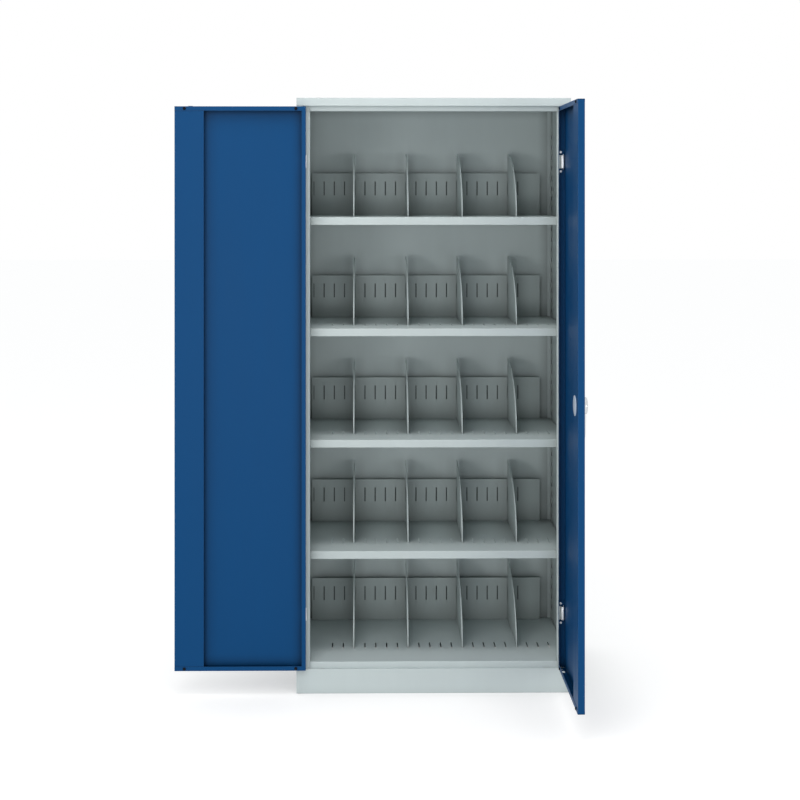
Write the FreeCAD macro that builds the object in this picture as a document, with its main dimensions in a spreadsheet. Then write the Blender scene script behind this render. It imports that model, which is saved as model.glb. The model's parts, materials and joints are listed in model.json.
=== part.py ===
"""Material storage cabinet with two hinged doors, in folded sheet steel.

Millimetres. X runs to the right, Y into the cabinet and Z up. The origin is on the
floor, under the middle of the cabinet's front plane. Both doors stand open: the left
one folded back by 180 degrees and the right one at 90 degrees.
"""
import FreeCAD, Part
import math
import os
import re
import Sketcher

Vector = FreeCAD.Vector
Rotation = FreeCAD.Rotation

SIZES = [
    ("body_wide", 900, "carcass over both side walls"),
    ("body_deep", 500, "carcass from its front plane to the back panel's outer face"),
    ("body_tall", 1950, "carcass from the floor to the roof"),
    ("wall", 1.0, "carcass sheet"),
    ("bend", 1.0, "inner radius of the folds"),
    ("rear_flange", 15, "inward flange at the back of a side wall"),
    ("fascia_tall", 27.2, "front face of the roof pan"),
    ("rebate_deep", 12, "from the front plane back to the face that the doors close on"),
    ("header_tall", 15.8, "rebate face under the fascia"),
    ("stile_face", 20.8, "front face of a side post"),
    ("stile_rebate", 22.7, "rebate face of a side post"),
    ("inner_return", 24, "returns that run back from the rebate faces"),
    ("plinth_tall", 80, "plinth"),
    ("sill_tall", 20, "rebate face above the plinth"),
    ("foot_flange", 20, "flange that stands on the floor"),
    ("roof_flange", 19, "flanges that hang from the roof"),
    ("join_gap", 0.5, "clearance between parts that are welded or laid together"),
    ("ledge_slot_wide", 18, "slot in the plinth's ledge"),
    ("ledge_slot_deep", 5, "slot in the plinth's ledge, front to back"),
    ("ledge_slot_side", 72, "from the side to the slot in the ledge"),
    ("first_shelf", 455.5, "top of the lowest shelf above the floor"),
    ("shelf_count", 4, "shelves"),
    ("slot_pitch", 36.75, "pitch of all the rows of slots"),
    ("level_steps", 10, "slot pitches from one shelf to the next"),
    ("shelf_front", 40, "from the front plane to a shelf's front edge"),
    ("shelf_rear_gap", 1.5, "behind a shelf"),
    ("shelf_side_gap", 2.0, "between a shelf and a clip rail"),
    ("floor_side_gap", 3.0, "between the bottom shelf and a side wall"),
    ("shelf_lip", 25, "front edge of a shelf"),
    ("shelf_return", 12, "return under the front edge"),
    ("shelf_flange", 15, "side and rear edges of a shelf"),
    ("slot_count", 21, "slots in a shelf and in a slotted plate"),
    ("slot_wide", 4, "width of those slots"),
    ("shelf_slot_front", 149, "from the front plane to a shelf slot"),
    ("shelf_slot_long", 63, "shelf slot"),
    ("slot_lead", 2, "slot pitches between the first plate slot and the first shelf slot"),
    ("plate_side", 34, "from the carcass side to the left end of a slotted plate"),
    ("plate_wide", 821, "slotted plate"),
    ("plate_tall", 150, "slotted plate"),
    ("plate_front", 478, "from the front plane to a slotted plate"),
    ("plate_foot", 16, "foot flange of a slotted plate"),
    ("plate_slot_side", 6.5, "from a plate's left end to its first slot"),
    ("plate_slot_tall", 50, "slot in a plate"),
    ("plate_slot_drop", 29, "from a plate's top to its slots"),
    ("tab_wide", 12, "tab that holds a plate in its shelf"),
    ("tab_drop", 6, "tabs below the shelf"),
    ("tab_side", 110, "from a plate's end to its tab"),
    ("tab_gap", 0.8, "clearance round a tab in its slot"),
    ("divider_sheet", 1.2, "divider"),
    ("divider_deep", 318, "divider from the plate to its front edge"),
    ("divider_tall", 220, "divider at the plate"),
    ("divider_edge", 4, "folded edge of a divider"),
    ("divider_steps", 9, "straight steps in a divider's curved edge"),
    ("divider_gap", 0.2, "between a divider and the plate"),
    ("divider_first", 4, "plate slots to the left of the first divider"),
    ("divider_step", 5, "plate slots from one divider to the next"),
    ("divider_count", 4, "dividers on a level"),
    ("divider_tab_long", 40, "bottom tab of a divider"),
    ("divider_tab_front", 6, "from a divider's front edge to its bottom tab"),
    ("hook_tall", 24, "rear hook where it goes through a plate slot"),
    ("hook_drop", 15, "nose of the rear hook"),
    ("hook_deep", 6, "nose of the rear hook, front to back"),
    ("rail_wide", 22, "clip rail, front to back"),
    ("rail_proud", 4, "clip rail from the side wall"),
    ("rail_front", 54, "from the front plane to the front rails"),
    ("rail_rear", 463, "from the front plane to the rear rails"),
    ("notch_tall", 14, "notch for a shelf clip in a rail's front edge"),
    ("notch_deep", 10, "notch for a shelf clip, front to back"),
    ("notch_drop", 14.7, "from a shelf's top to the middle of its notch"),
    ("notches_below", 8, "notches below the lowest shelf's own"),
    ("notch_count", 47, "notches in a rear rail"),
    ("clip_wide", 12, "ledge of a shelf clip, front to back"),
    ("clip_reach", 11, "ledge of a shelf clip"),
    ("clip_sheet", 1.5, "shelf clip"),
    ("clip_nose", 4, "nose of a shelf clip below its notch"),
    ("clip_gap", 0.2, "clearance of a clip in its notch"),
    ("door_wide", 426.7, "door"),
    ("door_gap", 2.4, "above and below a door"),
    ("door_side_gap", 1.0, "between a door and its post"),
    ("door_deep", 22, "door"),
    ("door_proud", 14, "outer face of a closed door in front of the front plane"),
    ("door_sheet", 1.0, "door sheet"),
    ("door_lip", 13, "inner lip on the hinge side"),
    ("door_end_lip", 14, "inner lips at the top and bottom"),
    ("end_overlap", 10, "from a door's end to where its end flange's sheet starts"),
    ("profile_wide", 95, "box profile along the free edge"),
    ("pin_edge", 4.6, "hinge pin from the door's edge"),
    ("pin_depth", 6.65, "hinge pin from the door's outer face"),
    ("pin_radius", 2.0, "hinge pin"),
    ("pin_tail", 1.5, "pin beyond each ear"),
    ("pin_clearance", 0.05, "radial running fit in the knuckle"),
    ("hinge_end", 180, "hinge centre from the end of the door"),
    ("arm_tall", 42, "hinge arm"),
    ("arm_sheet", 2, "hinge arm"),
    ("arm_bend", 2.5, "inner radius of the arm's bends"),
    ("arm_reach", 8.5, "arm from the pin towards the middle of the cabinet"),
    ("arm_inside", 16.4, "arm from the pin towards the side wall"),
    ("knuckle_radius", 3.5, "knuckle"),
    ("hinge_slot_gap", 0.8, "slots above and below the arm"),
    ("hinge_slot_front", 2.5, "from the door's outer face to the slot in its edge"),
    ("hinge_slot_rear", 1.8, "from the slot in the door's edge to the inner lip's face"),
    ("bracket_tall", 78, "hinge bracket"),
    ("bracket_sheet", 1.5, "hinge bracket"),
    ("ear_gap", 0.3, "between the arm and an ear"),
    ("ear_reach", 4.4, "ear beyond the pin"),
    ("screw_pitch", 63, "screws of a hinge bracket"),
    ("screw_depth", 15, "hinge screws from the door's outer face"),
    ("screw_head", 3.8, "hinge screw's hexagon head, from its middle to a corner"),
    ("screw_head_tall", 2.4, "hinge screw's head"),
    ("buffer_radius", 5, "rubber buffer"),
    ("buffer_tall", 3.6, "rubber buffer"),
    ("buffer_side", 32, "buffers from the door's side edges"),
    ("drain_side", 34, "hole in the bottom edge from the hinge edge"),
    ("drain_long", 18, "hole in the bottom edge"),
    ("drain_deep", 12, "hole in the bottom edge, front to back"),
    ("drain_front", 7, "hole in the bottom edge from the outer face"),
    ("pilot_side", 16, "small hole in the bottom edge from the hinge edge"),
    ("pilot_long", 5, "small hole in the bottom edge"),
    ("lug_side", 43.5, "lug on the left door from its free edge"),
    ("lug_wide", 15, "lug on the left door"),
    ("lug_tall", 1.5, "lug on the left door"),
    ("lug_deep", 6, "lug on the left door"),
    ("lock_side", 64, "lock from the door's free edge"),
    ("lock_height", 995, "lock above the floor"),
    ("rose_radius", 28, "rose under the handle"),
    ("rose_tall", 3, "rose under the handle"),
    ("hub_radius", 26.5, "handle's hub"),
    ("hub_proud", 15.5, "handle from the door's outer face"),
    ("hub_chamfer", 2.5, "edge of the hub"),
    ("lever_long", 100, "handle from the lock's centre"),
    ("lever_wide", 24, "handle at the hub"),
    ("lever_tip_radius", 9, "handle's tip"),
    ("lever_proud", 12.5, "handle from the door at the hub"),
    ("lever_tip_proud", 8.5, "handle from the door at its tip"),
    ("turn_gap", 0.4, "between parts of the lock that turn or slide"),
    ("cylinder_radius", 8, "lock cylinder"),
    ("cylinder_proud", 1.0, "lock cylinder in front of the hub"),
    ("cylinder_long", 10, "lock cylinder"),
    ("keyway_wide", 1.4, "keyway"),
    ("keyway_long", 8, "keyway"),
    ("keyway_deep", 5, "keyway"),
    ("spindle", 8, "square spindle"),
    ("spindle_hole", 6.2, "radius of the spindle's hole in the door"),
    ("gear_module", 1.5, "pinion and racks"),
    ("gear_teeth", 14, "pinion"),
    ("gear_play", 0.45, "play between the teeth"),
    ("rod_sheet", 3, "rod"),
    ("rod_wide", 10, "rod"),
    ("rod_rear_gap", 0.8, "between a rod and the box profile"),
    ("rod_travel", 16.5, "rod"),
    ("rod_end_gap", 1.0, "from a drawn-in rod to the outside of the door's end"),
    ("rod_hole_gap", 0.5, "clearance round a rod"),
    ("tooth_lean", 20, "degrees that a tooth's sides lean"),
    ("tooth_tip", 0.8, "tooth outside the pitch line, in modules"),
    ("tooth_root", 1.2, "tooth inside the pitch line, in modules"),
    ("root_room", 0.05, "room at a rack's roots, in modules"),
    ("case_tall", 84, "lock case"),
    ("case_sheet", 1.2, "lock case"),
    ("guide_long", 20, "rod guide"),
    ("guide_middle", 0.55, "middle guide, as a share of the way to the door's end"),
    ("guide_outer", 0.95, "outer guide, as a share of the way to the door's end"),
    ("disc_radius", 31.2, "cover disc"),
    ("disc_tall", 2.5, "cover disc"),
    ("left_open", 180, "degrees that the left door stands open"),
    ("right_open", 90, "degrees that the right door stands open"),
]

doc = FreeCAD.newDocument("MaterialCabinet")
sheet = doc.addObject("Spreadsheet::Sheet", "Sizes")
for row, (name, value, note) in enumerate(SIZES, start=1):
    sheet.set(f"A{row}", note)
    sheet.set(f"B{row}", str(value))
    sheet.setAlias(f"B{row}", name)
doc.recompute()

ALIASES = {name for name, value, note in SIZES}


def bound(text):
    """Expression over the sheet's cells, from one written with bare size names."""
    return re.sub(r"[a-z_]+", lambda m: "Sizes." + m[0] if m[0] in ALIASES else m[0], str(text))


def size(text):
    """Value of such an expression."""
    return float(sheet.evalExpression(bound(text)))


# Heights and places that several pieces share
HALF = "(body_wide / 2)"
FASCIA_FOOT = "(body_tall - fascia_tall)"
HEADER_FOOT = "(body_tall - fascia_tall - header_tall)"
FLOOR_TOP = "(plinth_tall + sill_tall)"
BACK_FACE = "(body_deep - wall)"
POST_INNER = "(stile_face + stile_rebate)"
RAIL_FACE = "(wall + rail_proud)"
DOOR_FOOT = "(plinth_tall + door_gap)"
DOOR_TOP = "(body_tall - fascia_tall - door_gap)"
LEVELS = range(int(size("shelf_count")) + 1)


def level_top(level):
    """Height of the surface that a level's plate and dividers stand on."""
    if level == 0:
        return FLOOR_TOP
    return f"(first_shelf + {level - 1} * level_steps * slot_pitch)"


# Sketches


def direction(start, end):
    long = math.hypot(end[0] - start[0], end[1] - start[1])
    return (round((end[0] - start[0]) / long, 9), round((end[1] - start[1]) / long, 9))


def shifted(text, step, by):
    """Coordinate moved by a signed whole step of a length, both as expressions."""
    if round(step) == 0:
        return text
    return f"{text} {'+' if step > 0 else '-'} {by}"


def folded(line, thick, side):
    """Closed outline of a sheet that is folded along a line of square turns.

    The line is one face of the sheet. The sheet lies to its left where side is 1 and
    to its right where side is -1. A point is (x, y), or (x, y, radius) where the inner
    radius of the fold is drawn. A corner of the outline is (x, y, radius or None).
    """
    radii = [point[2] if len(point) > 2 else None for point in line]
    line = [point[:2] for point in line]
    spots = [(size(x), size(y)) for x, y in line]
    runs = [direction(a, b) for a, b in zip(spots, spots[1:])]
    normals = [(-side * dy, side * dx) for dx, dy in runs]
    near, far = [], []
    for i, (x, y) in enumerate(line):
        before = normals[max(i - 1, 0)]
        after = normals[min(i, len(runs) - 1)]
        inner = 0 < i < len(line) - 1
        move = (before[0] + after[0], before[1] + after[1]) if inner else before
        outside = inner and side * (runs[i - 1][0] * runs[i][1] - runs[i - 1][1] * runs[i][0]) > 0
        small = radii[i]
        big = small and f"({small} + {thick})"
        near.append((x, y, big if outside else small))
        far_x, far_y = shifted(x, move[0], thick), shifted(y, move[1], thick)
        far.append((far_x, far_y, small if outside else big))
    return near + far[::-1]


def rectangle(x0, x1, y0, y1):
    return [(x0, y0, None), (x1, y0, None), (x1, y1, None), (x0, y1, None)]


def pin_point(sketch, geometry, point, x, y):
    """Fix a point of the sketch at the place that two expressions give."""
    for kind, text in (("DistanceX", x), ("DistanceY", y)):
        constraint = Sketcher.Constraint(kind, -1, 1, geometry, point, size(text))
        index = sketch.addConstraint(constraint)
        sketch.setExpression(f"Constraints[{index}]", bound(text))


def draw_outline(sketch, outline):
    """Lines and fold arcs of a closed outline, with every point bound to the sheet."""
    spots = [(size(x), size(y)) for x, y, radius in outline]
    count = len(outline)
    joints = []
    for i, (x, y, radius) in enumerate(outline):
        if radius is None:
            joints.append([(x, y)])
            continue
        back = direction(spots[i], spots[i - 1])
        ahead = direction(spots[i], spots[(i + 1) % count])
        joints.append([(shifted(x, d[0], radius), shifted(y, d[1], radius)) for d in (back, ahead)])
    pieces = []
    for i in range(count):
        radius = outline[i][2]
        if radius is not None:
            first, last = [Vector(size(x), size(y), 0) for x, y in joints[i]]
            corner = Vector(spots[i][0], spots[i][1], 0)
            centre = first + last - corner
            turn = (corner - first).cross(last - corner).z
            ends = [math.atan2(p.y - centre.y, p.x - centre.x) for p in (first, last)]
            circle = Part.Circle(centre, Vector(0, 0, 1), size(radius))
            if turn > 0:
                arc = Part.ArcOfCircle(circle, ends[0], ends[1])
            else:
                arc = Part.ArcOfCircle(circle, ends[1], ends[0])
            geometry = sketch.addGeometry(arc, False)
            start, end = (1, 2) if turn > 0 else (2, 1)
            pieces.append((geometry, start, end, joints[i][0]))
            index = sketch.addConstraint(Sketcher.Constraint("Radius", geometry, size(radius)))
            sketch.setExpression(f"Constraints[{index}]", bound(radius))
        start, end = joints[i][-1], joints[(i + 1) % count][0]
        line = Part.LineSegment(Vector(*map(size, start), 0), Vector(*map(size, end), 0))
        pieces.append((sketch.addGeometry(line, False), 1, 2, start))
    for i, (geometry, start, end, place) in enumerate(pieces):
        following, next_start = pieces[(i + 1) % len(pieces)][:2]
        sketch.addConstraint(Sketcher.Constraint("Coincident", geometry, end, following, next_start))
        pin_point(sketch, geometry, start, *place)


def draw_circle(sketch, x, y, radius):
    circle = Part.Circle(Vector(size(x), size(y), 0), Vector(0, 0, 1), size(radius))
    geometry = sketch.addGeometry(circle, False)
    pin_point(sketch, geometry, 3, x, y)
    index = sketch.addConstraint(Sketcher.Constraint("Radius", geometry, size(radius)))
    sketch.setExpression(f"Constraints[{index}]", bound(radius))


PLANES = {"X": "YZ_Plane", "Y": "XZ_Plane", "Z": "XY_Plane"}


def sketch_on(body, axis, shapes, start):
    """Sketch across an axis at a start along it. A shape is an outline or (x, y, radius)."""
    sketch = body.newObject("Sketcher::SketchObject", f"{body.Name}_sketch")
    plane = next(o for o in body.Origin.OriginFeatures if o.Role == PLANES[axis])
    sketch.AttachmentSupport = [(plane, "")]
    sketch.MapMode = "FlatFace"
    offset = f"-({start})" if axis == "Y" else str(start)
    sketch.setExpression("AttachmentOffset.Base.z", bound(offset))
    for shape in shapes:
        if isinstance(shape, tuple):
            draw_circle(sketch, *shape)
        else:
            draw_outline(sketch, shape)
    return sketch


def new_body(label):
    body = doc.addObject("PartDesign::Body", label)
    body.Label = label
    return body


def pad(body, axis, shapes, start, length):
    """Add sheet or solid from a start along an axis, over a length."""
    feature = body.newObject("PartDesign::Pad", f"{body.Name}_pad")
    feature.Profile = sketch_on(body, axis, shapes, start)
    feature.setExpression("Length", bound(length))
    feature.Reversed = axis == "Y"
    body.Tip = feature
    doc.recompute()
    return feature


def cut(body, axis, shapes, start, length):
    """Cut from a start along an axis, over a length, and make sure that it cut."""
    before = body.Tip.Shape.Volume
    feature = body.newObject("PartDesign::Pocket", f"{body.Name}_cut")
    feature.Profile = sketch_on(body, axis, shapes, start)
    feature.setExpression("Length", bound(length))
    feature.Reversed = axis != "Y"
    body.Tip = feature
    doc.recompute()
    if feature.Shape.Volume > before - 1e-6:
        raise ValueError(f"a cut in {body.Label} removed nothing")
    return feature


def repeat(body, feature, axis, pitch, count):
    """Repeat a cut or a pad along an axis."""
    pattern = body.newObject("PartDesign::LinearPattern", f"{body.Name}_row")
    line = next(o for o in body.Origin.OriginFeatures if o.Role == f"{axis}_Axis")
    pattern.Originals = [feature]
    pattern.Direction = (line, [""])
    pattern.Mode = "Spacing"
    pattern.setExpression("Offset", bound(pitch))
    pattern.setExpression("Occurrences", bound(count))
    body.Tip = pattern
    doc.recompute()
    return pattern


def group(label, shapes):
    """One sub-part that is a set of separate, like solids."""
    feature = doc.addObject("Part::Feature", label)
    feature.Label = label
    feature.Shape = Part.Compound(shapes)
    return feature


def moved(shape, offset):
    copy = shape.copy()
    copy.translate(offset)
    return copy


def placed_feature(label, shape, placement):
    """Sub-part from a finished shape, which keeps the turn that it was made with."""
    feature = doc.addObject("Part::Feature", label)
    feature.Label = label
    feature.Shape = shape
    feature.Placement = placement.multiply(shape.Placement)
    return feature


# Carcass


def side_x(hand, inward):
    """X of a place that lies inward from the left (-1) or right (1) side."""
    return f"{hand} * ({HALF} - ({inward}))"


def side_span(hand, near, far):
    """Start and length along X of what lies between two distances from a side."""
    start = side_x(hand, near if hand < 0 else far)
    return start, f"({far}) - ({near})"


def make_side_panel(hand, label):
    """Side wall with its front post, the rebate for the door and the rear flange."""
    body = new_body(label)
    wall_line = [("0", "wall"), ("0", BACK_FACE), ("rear_flange", BACK_FACE)]
    post_line = [
        (POST_INNER, "rebate_deep + inner_return"),
        (POST_INNER, "rebate_deep", "bend"),
        ("stile_face", "rebate_deep"),
        ("stile_face", "0", "bend"),
        ("0", "0", "bend"),
    ]
    post_line += wall_line[1:]
    lines = [(post_line, "plinth_tall", f"{FASCIA_FOOT} - plinth_tall")]
    lines.append((wall_line, "0", "plinth_tall"))
    lines.append((wall_line, FASCIA_FOOT, "fascia_tall - wall - bend"))
    for line, start, length in lines:
        placed = [(side_x(hand, inward), *rest) for inward, *rest in line]
        pad(body, "Z", [folded(placed, "wall", hand)], start, length)
    start, length = side_span(hand, "stile_face - wall - bend", "stile_face")
    openings = []
    for height in hinge_heights():
        low, high = f"{height} - {HINGE_SLOT_HALF}", f"{height} + {HINGE_SLOT_HALF}"
        openings.append(rectangle("wall", "wall + arm_sheet + turn_gap", low, high))
    cut(body, "X", openings, start, length)
    return body


def make_rack_rails():
    """Channels on the side walls, notched along their front edges for the shelf clips."""
    foot = "(first_shelf - notch_drop - notch_tall / 2)"
    columns = [
        ("rail_front", foot, "level_steps * slot_pitch", "shelf_count"),
        ("rail_rear", f"({foot} - notches_below * slot_pitch)", "slot_pitch", "notch_count"),
    ]
    start = f"({FLOOR_TOP} + join_gap)"
    length = f"body_tall - roof_flange - join_gap - {start}"
    rails = []
    for hand in (-1, 1):
        for front, low, pitch, count in columns:
            pattern = new_body(f"{front}_pattern_{'left' if hand < 0 else 'right'}")
            rear = f"({front} + rail_wide)"
            line = [("wall", front), (RAIL_FACE, front), (RAIL_FACE, rear), ("wall", rear)]
            placed = [(side_x(hand, inward), depth) for inward, depth in line]
            pad(pattern, "Z", [folded(placed, "wall", -hand)], start, length)
            outline = rectangle(front, f"{front} + notch_deep", low, f"{low} + notch_tall")
            notch = cut(pattern, "X", [outline], *side_span(hand, "wall", RAIL_FACE))
            repeat(pattern, notch, "Z", pitch, count)
            rails.append(pattern.Shape)
    return group("rack_rails", rails)


def make_back_panel():
    body = new_body("back_panel")
    outline = rectangle(f"-{HALF}", HALF, "0", "body_tall")
    pad(body, "Y", [outline], BACK_FACE, "wall")
    return body


def make_top_panel():
    """Roof pan with the fascia, the ledge over the doors and the header's rebate."""
    body = new_body("top_panel")
    pan = [
        ("rebate_deep", FASCIA_FOOT),
        ("0", FASCIA_FOOT, "bend"),
        ("0", "body_tall", "bend"),
        (BACK_FACE, "body_tall"),
    ]
    pad(body, "X", [folded(pan, "wall", -1)], f"-{HALF} + wall", "body_wide - 2 * wall")
    over_wall = [("0", FASCIA_FOOT), *pan[2:]]
    for hand in (-1, 1):
        pad(body, "X", [folded(over_wall, "wall", -1)], *side_span(hand, "0", "2 * wall"))
    inner = f"{POST_INNER} + join_gap"
    header = [
        ("rebate_deep + inner_return", HEADER_FOOT),
        ("rebate_deep", HEADER_FOOT, "bend"),
        ("rebate_deep", f"{FASCIA_FOOT} + wall"),
    ]
    pad(body, "X", [folded(header, "wall", -1)], f"-{HALF} + {inner}", f"body_wide - 2 * ({inner})")
    drop = ("body_tall - roof_flange", "body_tall - wall / 2")
    beside = "wall + rear_flange + join_gap"
    rear = rectangle(f"{BACK_FACE} - wall", BACK_FACE, *drop)
    pad(body, "X", [rear], f"-{HALF} + {beside}", f"body_wide - 2 * ({beside})")
    for hand in (-1, 1):
        flange = rectangle("rebate_deep + 2 * wall", f"{BACK_FACE} - 2 * wall", *drop)
        pad(body, "X", [flange], *side_span(hand, "wall", "2 * wall"))
    outline = keeper_outline("upper")
    cut(body, "Z", [outline], FASCIA_FOOT, "wall")
    return body


def make_floor_tray():
    """Bottom shelf with the sill that the doors close on."""
    body = new_body("floor_tray")
    line = [
        ("rebate_deep", "plinth_tall"),
        ("rebate_deep", FLOOR_TOP, "bend"),
        (f"{BACK_FACE} - wall", FLOOR_TOP),
        (f"{BACK_FACE} - wall", f"{FLOOR_TOP} - shelf_flange"),
    ]
    inner = f"({POST_INNER} + join_gap)"
    pad(body, "X", [folded(line, "wall", -1)], f"-{HALF} + {inner}", f"body_wide - 2 * {inner}")
    front, rear = "rebate_deep + inner_return + wall", f"{BACK_FACE} - wall - 2 * join_gap"
    outer = "(wall + floor_side_gap)"
    outline = rectangle(f"-{HALF} + {outer}", f"{HALF} - {outer}", front, rear)
    pad(body, "Z", [outline], f"{FLOOR_TOP} - wall", "wall")
    cut_shelf_slots(body, 0)
    return body


def make_plinth_front():
    body = new_body("plinth_front")
    line = [
        ("foot_flange", "0"),
        ("0", "0", "bend"),
        ("0", "plinth_tall", "bend"),
        ("rebate_deep + inner_return", "plinth_tall"),
    ]
    pad(body, "X", [folded(line, "wall", -1)], f"-{HALF} + wall", "body_wide - 2 * wall")
    corner = "(bend + wall)"
    for hand in (-1, 1):
        end = rectangle("0", "wall", corner, f"plinth_tall - {corner}")
        pad(body, "X", [end], *side_span(hand, "0", "2 * wall"))
    front = "(rebate_deep - ledge_slot_deep) / 2"
    slots = []
    for hand in (-1, 1):
        near, far = side_x(hand, "ledge_slot_side"), side_x(hand, "ledge_slot_side + ledge_slot_wide")
        slots.append(rectangle(near, far, front, f"{front} + ledge_slot_deep"))
    slots.append(keeper_outline("lower"))
    cut(body, "Z", slots, "plinth_tall - wall", "wall")
    return body


def make_plinth_rear():
    body = new_body("plinth_rear")
    top = f"({FLOOR_TOP} - shelf_flange)"
    line = [
        (f"{BACK_FACE} - foot_flange", "0"),
        (BACK_FACE, "0"),
        (BACK_FACE, top),
        (f"{BACK_FACE} - foot_flange", top),
    ]
    beside = "(wall + rear_flange + join_gap)"
    pad(body, "X", [folded(line, "wall", 1)], f"-{HALF} + {beside}", f"body_wide - 2 * {beside}")
    return body


# Shelves, slotted plates and dividers


def slot_x(number):
    """X of the middle of a plate's slot, counted from 0 at the left."""
    return f"(-{HALF} + plate_side + plate_slot_side + {number} * slot_pitch)"


def tab_places():
    """X of the left sides of the two tabs that hold a plate."""
    left = f"(-{HALF} + plate_side + tab_side)"
    return left, f"(-{HALF} + plate_side + plate_wide - tab_side - tab_wide)"


TAB_FRONT = "(plate_front + plate_foot - wall)"


def cut_shelf_slots(body, level):
    """Row of slots for the dividers, and the two slots that hold the plate."""
    under = f"{level_top(level)} - wall"
    middle = slot_x("slot_lead")
    slot = rectangle(
        f"{middle} - slot_wide / 2",
        f"{middle} + slot_wide / 2",
        "shelf_slot_front",
        "shelf_slot_front + shelf_slot_long",
    )
    first = cut(body, "Z", [slot], under, "wall")
    repeat(body, first, "X", "slot_pitch", "slot_count")
    holes = []
    for left in tab_places():
        front = f"{TAB_FRONT} - tab_gap"
        rear = f"{TAB_FRONT} + wall + tab_gap"
        holes.append(rectangle(f"{left} - tab_gap", f"{left} + tab_wide + tab_gap", front, rear))
    cut(body, "Z", holes, under, "wall")


def make_shelf(number):
    body = new_body(f"shelf_{number}")
    top = level_top(number)
    rear = f"({BACK_FACE} - shelf_rear_gap)"
    line = [
        ("shelf_front + shelf_return", f"{top} - shelf_lip"),
        ("shelf_front", f"{top} - shelf_lip"),
        ("shelf_front", top, "bend"),
        (rear, top),
        (rear, f"{top} - shelf_flange"),
    ]
    side = f"({RAIL_FACE} + shelf_side_gap)"
    pad(body, "X", [folded(line, "wall", -1)], f"-{HALF} + {side}", f"body_wide - 2 * {side}")
    for hand in (-1, 1):
        front = "shelf_front + shelf_return + wall"
        flange = rectangle(front, f"{rear} - 2 * wall", f"{top} - shelf_flange", f"{top} - wall / 2")
        pad(body, "X", [flange], *side_span(hand, side, f"{side} + wall"))
    cut_shelf_slots(body, number)
    return body


def make_slotted_plate(level):
    """Upright plate at the back of a level, on a foot with two tabs."""
    body = new_body(f"slotted_plate_{level + 1}")
    top = level_top(level)
    left = f"-{HALF} + plate_side"
    rear = "(plate_front + plate_foot)"
    line = [("plate_front", f"{top} + plate_tall"), ("plate_front", top), (rear, top)]
    pad(body, "X", [folded(line, "wall", 1)], left, "plate_wide")
    for tab_left in tab_places():
        tab = rectangle(TAB_FRONT, f"{TAB_FRONT} + wall", f"{top} - tab_drop", f"{top} + wall")
        pad(body, "X", [tab], tab_left, "tab_wide")
    high = f"{top} + plate_tall - plate_slot_drop"
    middle = slot_x("0")
    left, right = f"{middle} - slot_wide / 2", f"{middle} + slot_wide / 2"
    slot = rectangle(left, right, f"{high} - plate_slot_tall", high)
    first = cut(body, "Y", [slot], "plate_front", "wall")
    repeat(body, first, "X", "slot_pitch", "slot_count")
    return body


def quarter(deep, tall):
    """Points on a quarter ellipse, from the front edge's foot to the rear edge's top."""
    steps = int(size("divider_steps"))
    angles = [math.pi / 2 * step / steps for step in range(steps + 1)]
    return [Vector(deep * math.cos(angle), tall * math.sin(angle), 0) for angle in angles]


def flat(points):
    return Part.Face(Part.makePolygon(points + points[:1]))


def divider_shape():
    """Divider with its folded front edge, its rear hook and its bottom tab.

    Drawn flat with x towards the front and y up, from the foot of its rear edge, and
    then stood up across the cabinet.
    """
    deep = size("divider_deep - divider_gap")
    tall = size("divider_tall")
    thick = size("divider_sheet")
    gap = size("divider_gap")
    plate = gap + size("wall") + gap
    slot_foot = size("plate_tall - plate_slot_drop - plate_slot_tall")
    hook_top = slot_foot + size("hook_tall")
    nose = plate + size("hook_deep")
    tab_front = deep - size("divider_tab_front")
    tab_rear = tab_front - size("divider_tab_long")
    drop = -size("tab_drop")
    corners = [
        (0, hook_top),
        (-nose, hook_top),
        (-nose, slot_foot - size("hook_drop")),
        (-plate, slot_foot - size("hook_drop")),
        (-plate, slot_foot),
        (0, slot_foot),
        (0, 0),
        (tab_rear, 0),
        (tab_rear, drop),
        (tab_front, drop),
        (tab_front, 0),
    ]
    points = quarter(deep, tall) + [Vector(x, y, 0) for x, y in corners]
    shape = flat(points).extrude(Vector(0, 0, thick))
    outer, inner = quarter(deep, tall), quarter(deep - thick, tall - thick)
    rim = flat(outer[:-1] + inner[-2::-1])
    shape = shape.fuse(rim.extrude(Vector(0, 0, size("divider_edge")))).removeSplitter()
    shape.translate(Vector(0, 0, -thick / 2))
    shape.rotate(Vector(), Vector(1, 0, 0), 90)
    shape.rotate(Vector(), Vector(0, 0, 1), -90)
    return shape


def make_dividers():
    pattern = divider_shape()
    made = []
    for level in LEVELS:
        for number in range(int(size("divider_count"))):
            slot = f"(divider_first + {number} * divider_step)"
            label = f"divider_{level + 1}_{number + 1}"
            depth = size("plate_front - divider_gap")
            place = Vector(size(slot_x(slot)), depth, size(level_top(level)))
            made.append(placed_feature(label, pattern, FreeCAD.Placement(place, Rotation())))
    return made


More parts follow.
